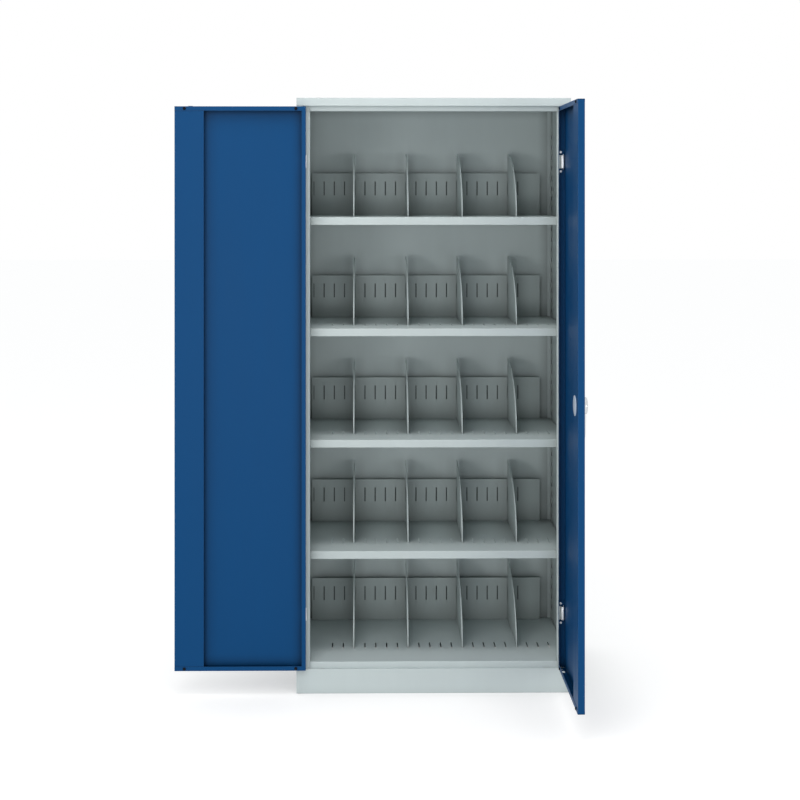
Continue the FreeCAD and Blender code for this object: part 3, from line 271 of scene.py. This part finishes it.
def openness(tree, reach, samples):
    """How open the surface is within a reach, from 0 in a closed corner to 1."""
    values = {"Distance": reach}
    return add_node(tree, "ShaderNodeAmbientOcclusion", values, samples=samples).outputs["AO"]


def painted_corner_shade(tree, colour, entry):
    """Colour with painted shade: darker in corners and narrow gaps, by how closed in the surface
    is.
    """
    gap_reach, gap_open, gap_tone = 0.012, (0.15, 0.75), (0.55, 1.0)
    wide = openness(tree, entry["Corner reach"], samples=10)
    close = openness(tree, gap_reach, samples=8)
    # Painted shade: the wide and the close openness together set how much the colour is darkened
    open_share = calculate(tree, "MULTIPLY", wide, remap(tree, close, gap_open, gap_tone))
    hidden = calculate(tree, "SUBTRACT", 1.0, open_share)
    loss = calculate(tree, "MULTIPLY", hidden, entry["Corner shade"])
    return toned(tree, colour, calculate(tree, "SUBTRACT", 1.0, loss))


def powder_group():
    """Ripple of a powder coat and its faint patches, a painted highlight with some rubbed paint on
    the edges of folded sheet, and painted shade in corners.
    """
    pit_share, wipe_share, highlight_paleness = 0.35, 0.6, 0.55
    uneven_range, tones, spreads = (0.45, 1.15), (0.965, 1.035), (-0.05, 0.06)
    fold_radius, flat_to_folded = 0.0012, (0.995, 0.80)
    tree, entry, leave = new_group("Powder coat", (
        ("Colour", "NodeSocketColor", (0.5, 0.5, 0.5, 1)),
        ("Ripple scale", "NodeSocketFloat", 600.0),
        ("Roughness", "NodeSocketFloat", 0.4),
        ("Edge light", "NodeSocketFloat", 0.15),
        ("Corner shade", "NodeSocketFloat", 0.5),
        ("Corner reach", "NodeSocketFloat", 0.1),
    ))
    place = object_place(tree)
    ripple = noise(tree, place, entry["Ripple scale"], detail=1.5)
    pits = calculate(tree, "MULTIPLY", cells(tree, place, entry["Ripple scale"]), pit_share)
    tree.links.new(calculate(tree, "ADD", ripple, pits), leave["Height"])
    # Broad patches, and wipe marks that run up the sheet
    along_patch, along_wipe = stretched(tree, (1.0, 1.0, 0.35)), stretched(tree, (9.0, 9.0, 0.8))
    patches = noise(tree, along_patch, scale=3.2, detail=3.0)
    wipes = noise(tree, along_wipe, scale=2.0, detail=4.0, roughness=0.6)
    uneven = calculate(tree, "ADD", patches, calculate(tree, "MULTIPLY", wipes, wipe_share))
    colour = toned(tree, entry["Colour"], remap(tree, uneven, uneven_range, tones))
    # A fold is where the rounded normal leaves the flat one
    rounded = add_node(tree, "ShaderNodeBevel", {"Radius": fold_radius}, samples=4).outputs[0]
    flat = add_node(tree, "ShaderNodeNewGeometry").outputs["Normal"]
    turn = add_node(tree, "ShaderNodeVectorMath", {0: rounded, 1: flat}, operation="DOT_PRODUCT")
    # Painted highlight, partly rubbed paint: folded edges are mixed towards a paler colour
    edge_highlight_and_wear = remap(tree, turn.outputs["Value"], flat_to_folded, (0.0, 1.0))
    share = calculate(tree, "MULTIPLY", edge_highlight_and_wear, entry["Edge light"])
    pale = mix_colours(tree, highlight_paleness, entry["Colour"], (1.0, 1.0, 1.0))
    highlit_and_worn = mix_colours(tree, share, colour, pale)
    # Painted shade in corners and gaps darkens the colour after the edge highlight
    tree.links.new(painted_corner_shade(tree, highlit_and_worn, entry), leave["Colour"])
    spread = remap(tree, uneven, uneven_range, spreads)
    tree.links.new(calculate(tree, "ADD", entry["Roughness"], spread), leave["Roughness"])
    return tree


def plating_group():
    """Cloudy zinc or nickel plate with fine drawing lines."""
    cell_share, blotch_range, tones = 0.5, (0.4, 1.1), (0.86, 1.10)
    rough_range, spreads = (0.8, 1.8), (-0.06, 0.12)
    tree, entry, leave = new_group("Plated metal", (
        ("Colour", "NodeSocketColor", (0.6, 0.6, 0.6, 1)),
        ("Roughness", "NodeSocketFloat", 0.3),
        ("Cloud scale", "NodeSocketFloat", 60.0),
    ))
    place = object_place(tree)
    spangle = calculate(tree, "MULTIPLY", cells(tree, place, entry["Cloud scale"]), cell_share)
    cloud = noise(tree, place, entry["Cloud scale"], detail=3.0)
    blotch = calculate(tree, "ADD", spangle, cloud)
    tone = remap(tree, blotch, blotch_range, tones)
    tree.links.new(toned(tree, entry["Colour"], tone), leave["Colour"])
    lines = noise(tree, stretched(tree, (1.0, 1.0, 40.0)), scale=90.0, detail=2.0)
    spread = remap(tree, calculate(tree, "ADD", blotch, lines), rough_range, spreads)
    tree.links.new(calculate(tree, "ADD", entry["Roughness"], spread), leave["Roughness"])
    tree.links.new(lines, leave["Height"])
    return tree


def new_material(name):
    """Material with a principled shader only, its tree and that shader."""
    material = bpy.data.materials.new(name)
    material.use_nodes = True
    shader = material.node_tree.nodes["Principled BSDF"]
    return material, material.node_tree, shader


def add_bump(tree, shader, height, depth, distance):
    values = {"Strength": depth, "Distance": distance, "Height": height}
    bump = add_node(tree, "ShaderNodeBump", values)
    tree.links.new(bump.outputs[0], shader.inputs["Normal"])


def finish_from_group(name, group, values, depth, distance, **sockets):
    """Material whose colour, roughness and bump come from a group."""
    material, tree, shader = new_material(name)
    surface = add_node(tree, "ShaderNodeGroup", node_tree=group)
    for label, value in values.items():
        surface.inputs[label].default_value = value
    tree.links.new(surface.outputs["Colour"], shader.inputs["Base Color"])
    tree.links.new(surface.outputs["Roughness"], shader.inputs["Roughness"])
    add_bump(tree, shader, surface.outputs["Height"], depth, distance)
    for label, value in sockets.items():
        shader.inputs[label.replace("_", " ")].default_value = value
    return material


def rubber_material(colour):
    """Black rubber with a fine moulded grain."""
    grain_range, tones, roughnesses = (0.3, 0.7), (0.8, 1.3), (0.55, 0.75)
    material, tree, shader = new_material("Buffer rubber")
    grain = noise(tree, object_place(tree), scale=2500.0, detail=3.0)
    tone = remap(tree, grain, grain_range, tones)
    tree.links.new(toned(tree, colour, tone), shader.inputs["Base Color"])
    tree.links.new(remap(tree, grain, grain_range, roughnesses), shader.inputs["Roughness"])
    shader.inputs["Specular IOR Level"].default_value = 0.12
    add_bump(tree, shader, grain, depth=0.3, distance=0.0002)
    return material


FINISHES = {}


def make_finishes():
    """Every finish of the cabinet, by the record's name for its slot."""
    paint, metal = setting("cabinet_paint"), setting("cabinet_metal")
    powder, plating = powder_group(), plating_group()
    # Slot: name, colour, share of light that a corner loses, and how far that reaches
    coats = {
        "carcass_grey": ("Body powder coat", paint.body, 0.16, 0.03),
        "back_grey": ("Back powder coat", paint.body, 0.80, 0.05),
        "inside_grey": ("Inside powder coat", paint.inside, 0.68, 0.08),
        "door_blue": ("Door powder coat", paint.doors, 0.85, 0.045),
    }
    for slot, (name, colour, corner_shade, reach) in coats.items():
        values = {
            "Colour": (*colour, 1),
            "Ripple scale": 1 / paint.peel,
            "Roughness": paint.gloss,
            "Edge light": 0.05,
            "Corner shade": corner_shade,
            "Corner reach": reach,
        }
        FINISHES[slot] = finish_from_group(
            name, powder, values, depth=0.12, distance=0.00012, Specular_IOR_Level=0.12)
    # Slot: name, colour, roughness and scale of the clouds
    plates = {
        "hinge_steel": ("Zinc plated hinge", metal.zinc, 0.34, 70.0),
        "lock_steel": ("Zinc plated lock", metal.zinc, 0.38, 70.0),
        "clip_steel": ("Zinc plated clip", metal.zinc, 0.40, 90.0),
        "handle_chrome": ("Satin nickel", metal.chrome, 0.24, 25.0),
        "cylinder_steel": ("Turned nickel", metal.chrome, 0.20, 60.0),
    }
    for slot, (name, colour, roughness, clouds) in plates.items():
        values = {"Colour": (*colour, 1), "Roughness": roughness, "Cloud scale": clouds}
        FINISHES[slot] = finish_from_group(
            name, plating, values, depth=0.08, distance=0.0001, Metallic=1.0)
    values = {"Colour": (*metal.disc, 1), "Roughness": 0.34, "Cloud scale": 18.0}
    FINISHES["cover_disc"] = finish_from_group(
        "Cover disc", plating, values, depth=0.05, distance=0.0001)
    FINISHES["buffer_rubber"] = rubber_material(metal.rubber)


# Modelling


# Corners that are nearer than this are one corner, in a CAD mesh and in a new piece
CAD_DOUBLES, NEW_DOUBLES = 1e-5, 1e-6


def start_fresh():
    """Leave edit mode and deselect everything, so that operators act on one piece."""
    if bpy.context.object and bpy.context.object.mode != "OBJECT":
        bpy.ops.object.mode_set(mode="OBJECT")
    bpy.ops.object.select_all(action="DESELECT")


def only(piece):
    start_fresh()
    piece.select_set(True)
    bpy.context.view_layer.objects.active = piece


def settle():
    """Put the place, turn and size of the active piece into its mesh."""
    bpy.ops.object.transform_apply(location=True, rotation=True, scale=True)


def add_block(place, size):
    """Block at a place, as the start of a piece or to cut one with."""
    start_fresh()
    bpy.ops.mesh.primitive_cube_add(size=1, location=place, scale=size)
    settle()
    return bpy.context.object


def pick(piece, kind, test):
    """In edit mode, select only the faces or edges that pass a test."""
    mesh = bmesh.from_edit_mesh(piece.data)
    bpy.ops.mesh.select_all(action="DESELECT")
    for item in getattr(mesh, kind):
        if test(item):
            item.select_set(True)
    mesh.select_flush_mode()
    bmesh.update_edit_mesh(piece.data)


def middle(item):
    return sum((corner.co for corner in item.verts), Vector()) / len(item.verts)


def close_up(piece):
    """Merge doubles and turn the faces outwards."""
    only(piece)
    bpy.ops.object.mode_set(mode="EDIT")
    bpy.ops.mesh.select_all(action="SELECT")
    bpy.ops.mesh.remove_doubles(threshold=NEW_DOUBLES)
    bpy.ops.mesh.normals_make_consistent(inside=False)
    bpy.ops.object.mode_set(mode="OBJECT")


def stack_rings(name, sides, steps):
    """Round piece about Z: a disc that is extruded through (radius, height) steps."""
    start_fresh()
    radius, height = steps[0]
    bpy.ops.mesh.primitive_circle_add(
        vertices=sides, radius=radius, fill_type="NGON", location=(0, 0, height))
    piece = bpy.context.object
    piece.name = piece.data.name = name
    settle()
    bpy.ops.object.mode_set(mode="EDIT")
    bpy.ops.mesh.select_all(action="SELECT")
    for new_radius, new_height in steps[1:]:
        step = (0, 0, new_height - height)
        bpy.ops.mesh.extrude_region_move(TRANSFORM_OT_translate={"value": step})
        share = new_radius / radius
        bpy.ops.transform.resize(value=(share, share, 1))
        radius, height = new_radius, new_height
    bpy.ops.object.mode_set(mode="OBJECT")
    close_up(piece)
    return piece


def shade(piece, degrees=35):
    """Smooth the faces that meet at less than an angle."""
    only(piece)
    bpy.ops.object.shade_smooth_by_angle(angle=math.radians(degrees))


def facing(axis, place):
    """Matrix that points a piece's Z along an axis and puts it at a place."""
    turn = UP.rotation_difference(axis).to_matrix().to_4x4()
    return Matrix.Translation(place) @ turn


def put(piece, matrix):
    only(piece)
    piece.matrix_world = matrix
    settle()
    return piece


def copy_of(piece, name):
    """Copy with its own mesh."""
    copy = piece.copy()
    copy.data = piece.data.copy()
    copy.name = copy.data.name = name
    bpy.context.scene.collection.objects.link(copy)
    return copy


def join(pieces, name):
    start_fresh()
    for piece in pieces:
        piece.select_set(True)
    bpy.context.view_layer.objects.active = pieces[0]
    bpy.ops.object.join()
    pieces[0].name = pieces[0].data.name = name
    return pieces[0]


def loose_copy(node, name):
    """Copy of a CAD node's mesh as a new piece, with its triangles merged into faces."""
    piece = bpy.data.objects.new(name, NODES[node].data.copy())
    piece.data.name = name
    bpy.context.scene.collection.objects.link(piece)
    only(piece)
    bpy.ops.object.mode_set(mode="EDIT")
    bpy.ops.mesh.select_all(action="SELECT")
    bpy.ops.mesh.remove_doubles(threshold=CAD_DOUBLES)
    bpy.ops.mesh.dissolve_limited(angle_limit=math.radians(1))
    bpy.ops.object.mode_set(mode="OBJECT")
    return piece


def soften(piece, width, sharpest=40):
    """Break the edges of a piece whose faces meet at more than an angle in degrees."""
    only(piece)
    bevel = piece.modifiers.new("Broken edges", "BEVEL")
    bevel.width = width
    bevel.segments = 2
    bevel.angle_limit = math.radians(sharpest)
    bpy.ops.object.modifier_apply(modifier=bevel.name)


def combine(piece, other, operation):
    """Boolean with another piece, which is used up."""
    only(piece)
    tool = piece.modifiers.new("Combine", "BOOLEAN")
    tool.operation = operation
    tool.solver = "EXACT"
    tool.object = other
    bpy.ops.object.modifier_apply(modifier=tool.name)
    bpy.data.objects.remove(other)


def own(piece, body, slot, node):
    """Finish of a piece, the body that it rides on and the node that it stands for."""
    piece.data.materials.clear()
    piece.data.materials.append(FINISHES[slot])
    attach(piece, body)
    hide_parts(node)


def box_order(box):
    """Order of boxes by height, then from left to right and from front to back."""
    low = box[0]
    return round(low.z, 4), round(low.x, 4), round(low.y, 4)


def solids(node):
    """Lowest and highest corners of each separate solid of a CAD node."""
    mesh = bmesh.new()
    mesh.from_mesh(NODES[node].data)
    bmesh.ops.remove_doubles(mesh, verts=mesh.verts, dist=CAD_DOUBLES)
    left, boxes = set(mesh.verts), []
    while left:
        reach, found = [left.pop()], []
        while reach:
            corner = reach.pop()
            found.append(corner.co.copy())
            for edge in corner.link_edges:
                other = edge.other_vert(corner)
                if other in left:
                    left.remove(other)
                    reach.append(other)
        axes = tuple(zip(*found))
        boxes.append(tuple(Vector([end(values) for values in axes]) for end in (min, max)))
    mesh.free()
    return sorted(boxes, key=box_order)


def seat_of(box, axis):
    """Middle of the face of a box that an axis leaves from."""
    low, high = box
    centre = (low + high) / 2
    half = (high - low) / 2
    return centre - Vector([axis[i] * half[i] for i in range(3)])


def size_across(box, axis):
    """Height of a box along an axis, and its largest radius across it."""
    low, high = box
    tall = sum(abs(axis[i]) * (high - low)[i] for i in range(3))
    wide = max((1 - abs(axis[i])) * (high - low)[i] for i in range(3))
    return tall, wide / 2


def scaled_profile(profile, radius, tall):
    return [(radius * r, tall * h) for r, h in profile]


def fit_copies(pattern, node, axis, name):
    """Copies of a pattern, which is used up, on a node's solids, as one piece."""
    copies = []
    for number, box in enumerate(solids(node)):
        matrix = facing(axis, seat_of(box, axis))
        copies.append(put(copy_of(pattern, f"{name}_{number}"), matrix))
    piece = join(copies, name)
    bpy.data.objects.remove(pattern)
    return piece


# Pieces


# Round profiles from the seat outwards, as shares of a piece's radius and height
BUFFER_PROFILE = (
    (0.92, 0.0), (1.0, 0.06), (1.0, 0.28), (0.95, 0.36), (0.84, 0.42),
    (0.80, 0.55), (0.74, 0.74), (0.62, 0.88), (0.42, 0.965), (0.18, 1.0),
)
DISC_PROFILE = (
    (1.0, 0.0), (1.0, 0.30), (0.985, 0.42), (0.955, 0.52), (0.90, 0.66),
    (0.80, 0.80), (0.66, 0.90), (0.46, 0.965), (0.24, 0.99), (0.10, 1.0),
)


def paint_panels():
    """Give each CAD node the finish of its slot."""
    make_finishes()
    slots = {part["node"]: part["material_slot"] for part in frame["record"]["subparts"]}
    # Behind the slotted plates the back panel gets stronger painted corner shade than the rest of
    # the body, so the slots show dark
    finishes = {**slots, "back_panel": "back_grey"}
    for name, node in NODES.items():
        for slot in node.material_slots:
            slot.material = FINISHES[finishes[name]]


def make_buffers():
    """Stepped rubber buffers with rounded tops."""
    sides = setting("cabinet_fittings").sides
    for side, axis in INNER_SIDE.items():
        node = f"door_{side}_buffers"
        tall, radius = size_across(solids(node)[0], axis)
        profile = scaled_profile(BUFFER_PROFILE, radius, tall)
        pattern = stack_rings("buffer_pattern", sides, profile)
        piece = fit_copies(pattern, node, axis, f"rubber_buffers_{side}")
        shade(piece, degrees=50)
        own(piece, f"{side}_door", "buffer_rubber", node)


def make_arms():
    """Gooseneck arms with broken edges and a groove beside the rolled knuckle."""
    groove = setting("cabinet_fittings").groove
    groove_depth, spare = 1.3 * MM, MM
    pin_to_groove, broken_edge = 3.9 * MM, 0.3 * MM
    for side, inward in INWARD.items():
        node = f"hinge_arms_{side}"
        arms = loose_copy(node, f"gooseneck_arms_{side}")
        for (low, high), (pin_low, pin_high) in zip(solids(node), solids(f"hinge_pins_{side}")):
            x = (pin_low.x + pin_high.x) / 2 + inward * pin_to_groove
            y = low.y + (groove_depth - spare) / 2
            z = (low.z + high.z) / 2
            size = (groove, groove_depth + spare, high.z - low.z + 2 * spare)
            combine(arms, add_block((x, y, z), size), "DIFFERENCE")
        soften(arms, broken_edge)
        shade(arms)
        own(arms, "carcass", "hinge_steel", node)


def make_screws():
    """Socket screws with washers and a round socket in the head, on the hinge brackets."""
    fittings = setting("cabinet_fittings")
    sides, rim = 48, 0.3 * MM
    head_share, socket_mouth, socket_floor = 0.80, 0.55, 0.52
    for side, axis in FROM_HINGE.items():
        node = f"hinge_screws_{side}"
        tall, radius = size_across(solids(node)[0], axis)
        washer, head = fittings.washer, radius * head_share
        steps = [
            (radius, 0), (radius, washer), (head, washer),
            (head, tall - rim), (head - rim, tall),
            (head * socket_mouth, tall), (head * socket_floor, tall - fittings.socket),
        ]
        pattern = stack_rings("screw_pattern", sides, steps)
        piece = fit_copies(pattern, node, axis, f"bracket_screws_{side}")
        shade(piece)
        own(piece, f"{side}_door", "hinge_steel", node)


def make_cover_disc():
    """Disc with a low dome over the lock."""
    node = "lock_cover_disc"
    axis = INNER_SIDE["right"]
    box = solids(node)[0]
    tall, radius = size_across(box, axis)
    sides = setting("cabinet_fittings").sides
    piece = stack_rings("lock_cover", sides, scaled_profile(DISC_PROFILE, radius, tall))
    put(piece, facing(axis, seat_of(box, axis)))
    shade(piece, degrees=40)
    own(piece, "right_door", "cover_disc", node)


def make_rose():
    """Flat ring under the handle with a rounded rim."""
    node = "handle_rose"
    axis = OUTER_RIGHT
    hole = 6.2 * MM
    box = solids(node)[0]
    tall, radius = size_across(box, axis)
    sides = setting("cabinet_fittings").sides
    steps = [
        (radius, 0), (radius, tall * 0.55),
        (radius - 0.3 * MM, tall * 0.85), (radius - 0.9 * MM, tall),
        (hole, tall), (hole, 0),
    ]
    piece = stack_rings("rose_plate", sides, steps)
    # The two discs at the seat go, and the ring is closed between its rims
    only(piece)
    bpy.ops.object.mode_set(mode="EDIT")
    pick(piece, "faces", lambda f: len(f.verts) > 4)
    bpy.ops.mesh.delete(type="ONLY_FACE")
    pick(piece, "edges", lambda e: e.is_boundary)
    bpy.ops.mesh.bridge_edge_loops()
    bpy.ops.object.mode_set(mode="OBJECT")
    close_up(piece)
    put(piece, facing(axis, seat_of(box, axis)))
    shade(piece, degrees=32)
    own(piece, "right_door", "handle_chrome", node)


def make_hub(hub, bore, face, floor, sides):
    """Hub of the handle: a rounded rim, a dished face and a collar round the cylinder."""
    rim, dish = 0.8 * MM, face - 0.8 * MM
    return stack_rings("handle_grip", sides, [
        # From the rose up the side and over the rounded rim
        (hub - rim, 0), (hub, rim),
        (hub, face * 0.62), (hub - 0.5 * MM, face * 0.78), (hub - 1.6 * MM, face * 0.90),
        (hub - 3.2 * MM, face * 0.98), (hub - 5 * MM, face),
        # Across the dish to the collar, and down into the bore
        (hub - 11 * MM, face), (hub - 12 * MM, dish), (bore + 1.5 * MM, dish),
        (bore + 0.9 * MM, face), (bore, face), (bore, floor),
    ])


def make_lever(long, face, edge):
    """Lever along -X that tapers to a rounded tip, with Z out from the door."""
    # The whole width at the root and half of it at the tip, and the thickness at each
    wide, tip = 24 * MM, 9 * MM
    root, end = face * 0.80, face * 0.50
    nearly = 0.9
    lever = add_block((-long / 2, 0, root / 2), (long, wide, root))

    def outer_end(e):
        return all(v.co.x < -long / 2 and v.co.z > root / 2 for v in e.verts)

    def tip_corner(e):
        one, other = (v.co for v in e.verts)
        at_tip = middle(e).x < -nearly * long and abs(middle(e).y) > tip / 2
        return at_tip and abs(one.x - other.x) < MM and abs(one.z - other.z) > MM

    def outer_rim(e):
        return min(v.co.z for v in e.verts) > end * nearly and middle(e).x < -MM

    bpy.ops.object.mode_set(mode="EDIT")
    pick(lever, "edges", outer_end)
    bpy.ops.transform.translate(value=(0, 0, end - root))
    pick(lever, "faces", lambda f: f.normal.x < -nearly)
    bpy.ops.transform.resize(value=(1, 2 * tip / wide, 1))
    pick(lever, "edges", tip_corner)
    bpy.ops.mesh.bevel(offset=tip * 0.98, segments=10)
    pick(lever, "edges", outer_rim)
    bpy.ops.mesh.bevel(offset=edge, segments=4)
    bpy.ops.object.mode_set(mode="OBJECT")
    return lever


def make_handle():
    """Hub with a lever that hangs down and a square spindle into the lock."""
    fittings = setting("cabinet_fittings")
    gap, overlap, spindle = 0.4 * MM, MM, 8 * MM
    low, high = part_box("turn_handle")
    rose_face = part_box("handle_rose")[1].x
    bore_low, bore_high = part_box("lock_cylinder")
    centre = (bore_low + bore_high) / 2
    near = rose_face + gap
    face = high.x - near
    hub = (high.y - low.y) / 2
    bore = (bore_high.y - bore_low.y) / 2 + 0.05 * MM
    piece = make_hub(hub, bore, face, bore_low.x - gap - near, fittings.sides)
    lever = make_lever(centre.z - low.z, face, fittings.lever_edge)
    clear = hub - 4 * MM
    hollow = stack_rings("hollow", fittings.sides, [(clear, -face), (clear, 2 * face)])
    combine(lever, hollow, "DIFFERENCE")
    combine(piece, lever, "UNION")
    inner_end = low.x - near
    size = (spindle, spindle, overlap - inner_end)
    combine(piece, add_block((0, 0, (inner_end + overlap) / 2), size), "UNION")
    # Z goes out from the door to the right, and -X hangs down
    turn = Matrix(((0, 0, 1), (0, 1, 0), (1, 0, 0)))
    piece.data.transform(Matrix.Translation((near, centre.y, centre.z)) @ turn.to_4x4())
    close_up(piece)
    shade(piece, degrees=32)
    own(piece, "handle", "handle_chrome", "turn_handle")


# Studio


WHITE = (1, 1, 1, 1)
SKY = (0.97, 0.99, 1.0, 1)
FLOOR_GLOW, FLOOR_MATTE, FLOOR_BOUNCE = 0.672, 0.52, 0.80
SENSOR_WIDTH, FARTHEST = 36, 200
# Name, place, target, width and height, the setting of its power, and its share of that
LAMPS = (
    ("Key", (-1.6, -4.0, 3.7), (0, 0, 1.0), (2.6, 2.6), "key", 1.0),
    ("Top", (-0.3, -1.25, 4.6), (-0.1, -0.1, 1.0), (1.6, 0.9), "top", 1.0),
    ("Front left", (-4.6, -8.2, 1.0), (0, 0, 0.8), (2.2, 1.8), "front", 0.47),
    ("Front right", (4.6, -8.2, 1.0), (0, 0, 0.8), (2.2, 1.8), "front", 0.31),
    ("Front low", (-0.4, -8.4, 0.4), (0, 0, 0.6), (2.2, 0.8), "front", 0.22),
    ("Fill", (3.4, -3.4, 1.8), (0.2, -0.2, 1.0), (1.8, 2.6), "fill", 1.0),
)


def seen_in_picture(tree):
    """1 for what the camera sees, also in a reflection or through glass, 0 for other light."""
    light = add_node(tree, "ShaderNodeLightPath").outputs
    seen = calculate(tree, "MAXIMUM", light["Is Camera Ray"], light["Is Glossy Ray"])
    return calculate(tree, "MAXIMUM", seen, light["Is Transmission Ray"])


def matte(tree, tone):
    return add_node(tree, "ShaderNodeBsdfDiffuse", {"Color": (tone, tone, tone, 1)}).outputs[0]


def floor_material():
    """White floor that keeps the object's shadow, and a painted contact shadow where its glow fades
    near the object.
    """
    material, tree, shader = new_material("Studio floor")
    tree.nodes.remove(shader)
    seen = seen_in_picture(tree)
    # The glow fades near and under the object, a painted contact shadow that also keeps white floor
    # from showing through its slots
    glow_reach, open_range, painted_shadow_fade = 0.4, (0.0, 0.9), (0.35, 1.0)
    share = remap(tree, openness(tree, glow_reach, samples=8), open_range, painted_shadow_fade)
    strength = calculate(tree, "MULTIPLY", share, FLOOR_GLOW)
    glow = add_node(tree, "ShaderNodeEmission", {"Color": WHITE, "Strength": strength})
    values = {0: glow.outputs[0], 1: matte(tree, FLOOR_MATTE)}
    shown = add_node(tree, "ShaderNodeAddShader", values)
    values = {0: seen, 1: matte(tree, FLOOR_BOUNCE), 2: shown.outputs[0]}
    mixed = add_node(tree, "ShaderNodeMixShader", values)
    output = next(n for n in tree.nodes if n.type == "OUTPUT_MATERIAL")
    tree.links.new(mixed.outputs[0], output.inputs["Surface"])
    return material


def make_world(ambient):
    """White to look at, and a soft light from all round on the object."""
    world = bpy.data.worlds.new("Studio world")
    bpy.context.scene.world = world
    world.use_nodes = True
    tree = world.node_tree
    tree.nodes.clear()
    seen = seen_in_picture(tree)
    soft = add_node(tree, "ShaderNodeBackground", {"Color": SKY, "Strength": ambient})
    white = add_node(tree, "ShaderNodeBackground", {"Color": WHITE, "Strength": 1.0})
    values = {0: seen, 1: soft.outputs[0], 2: white.outputs[0]}
    mixed = add_node(tree, "ShaderNodeMixShader", values)
    output = add_node(tree, "ShaderNodeOutputWorld")
    tree.links.new(mixed.outputs[0], output.inputs["Surface"])


def add_lamp(name, place, target, size, power):
    start_fresh()
    bpy.ops.object.light_add(type="AREA", location=place)
    lamp = bpy.context.object
    lamp.name = name
    lamp.data.shape = "RECTANGLE"
    lamp.data.size, lamp.data.size_y = size
    lamp.data.energy = power
    way = Vector(target) - Vector(place)
    lamp.rotation_euler = way.to_track_quat("-Z", "Y").to_euler()


def make_studio():
    """Floor, world and lamps."""
    studio = setting("cabinet_studio")
    start_fresh()
    bpy.ops.mesh.primitive_plane_add(size=studio.floor, location=(0, 0, 0))
    floor = bpy.context.object
    floor.name = "studio_floor"
    floor.data.materials.append(floor_material())
    make_world(studio.ambient)
    for name, place, target, size, power, share in LAMPS:
        add_lamp(name, place, target, size, getattr(studio, power) * share)


def make_camera():
    """Level camera, turned a little to the right and shifted as the photograph is."""
    studio = setting("cabinet_studio")
    start_fresh()
    turn = (math.pi / 2, 0, -studio.camera_turn)
    bpy.ops.object.camera_add(location=studio.camera_place, rotation=turn)
    camera = bpy.context.object
    camera.name = "Photo camera"
    camera.data.lens = studio.lens
    camera.data.sensor_width = SENSOR_WIDTH
    camera.data.shift_x, camera.data.shift_y = studio.shift
    camera.data.clip_end = FARTHEST
    bpy.context.scene.camera = camera
    bpy.context.scene.view_settings.view_transform = "Standard"


# Operators, in the order in which they run


class CABINET_OT_camera(bpy.types.Operator):
    """Stand the camera where the photograph was taken"""

    bl_idname = "cabinet.camera"
    bl_label = "Camera"

    def execute(self, context):
        make_camera()
        return {"FINISHED"}


class CABINET_OT_studio(bpy.types.Operator):
    """Lay the floor and set the lamps and the world"""

    bl_idname = "cabinet.studio"
    bl_label = "Studio"

    def execute(self, context):
        make_studio()
        return {"FINISHED"}


class CABINET_OT_finishes(bpy.types.Operator):
    """Paint the panels and plate the metal parts"""

    bl_idname = "cabinet.finishes"
    bl_label = "Finishes"

    def execute(self, context):
        paint_panels()
        return {"FINISHED"}


class CABINET_OT_buffers(bpy.types.Operator):
    """Mould the rubber buffers on both doors"""

    bl_idname = "cabinet.buffers"
    bl_label = "Rubber buffers"

    def execute(self, context):
        make_buffers()
        return {"FINISHED"}


class CABINET_OT_arms(bpy.types.Operator):
    """Cut the groove in the gooseneck arms of the hinges and break their edges"""

    bl_idname = "cabinet.arms"
    bl_label = "Hinge arms"

    def execute(self, context):
        make_arms()
        return {"FINISHED"}


class CABINET_OT_screws(bpy.types.Operator):
    """Turn the screws of the hinge brackets"""

    bl_idname = "cabinet.screws"
    bl_label = "Hinge screws"

    def execute(self, context):
        make_screws()
        return {"FINISHED"}


class CABINET_OT_disc(bpy.types.Operator):
    """Press the domed disc over the lock"""

    bl_idname = "cabinet.disc"
    bl_label = "Cover disc"

    def execute(self, context):
        make_cover_disc()
        return {"FINISHED"}


class CABINET_OT_rose(bpy.types.Operator):
    """Turn the rose under the handle"""

    bl_idname = "cabinet.rose"
    bl_label = "Rose"

    def execute(self, context):
        make_rose()
        return {"FINISHED"}


class CABINET_OT_handle(bpy.types.Operator):
    """Cast the turn handle"""

    bl_idname = "cabinet.handle"
    bl_label = "Handle"

    def execute(self, context):
        make_handle()
        return {"FINISHED"}


OPERATORS = (
    CABINET_OT_camera,
    CABINET_OT_studio,
    CABINET_OT_finishes,
    CABINET_OT_buffers,
    CABINET_OT_arms,
    CABINET_OT_screws,
    CABINET_OT_disc,
    CABINET_OT_rose,
    CABINET_OT_handle,
)


class CABINET_PT_panel(bpy.types.Panel):
    """Lists the cabinet's pieces and settings."""

    bl_idname = "CABINET_PT_panel"
    bl_label = "Material cabinet"
    bl_space_type = "VIEW_3D"
    bl_region_type = "UI"
    bl_category = "Cabinet"

    def draw(self, context):
        for kind in OPERATORS:
            self.layout.operator(kind.bl_idname)
        for name in SETTINGS:
            box = self.layout.box()
            group = getattr(context.scene, name)
            for key in group.bl_rna.properties.keys():
                if key not in {"rna_type", "name"}:
                    box.prop(group, key)


CLASSES = (*SETTINGS.values(), *OPERATORS, CABINET_PT_panel)


def register():
    for kind in CLASSES:
        bpy.utils.register_class(kind)
    for name, kind in SETTINGS.items():
        setattr(bpy.types.Scene, name, bpy.props.PointerProperty(type=kind))


def unregister():
    for name in SETTINGS:
        delattr(bpy.types.Scene, name)
    for kind in reversed(CLASSES):
        bpy.utils.unregister_class(kind)


def main():
    """Register the add-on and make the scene."""
    register()
    for kind in OPERATORS:
        group, name = kind.bl_idname.split(".")
        getattr(getattr(bpy.ops, group), name)()


if __name__ == "__main__":
    main()
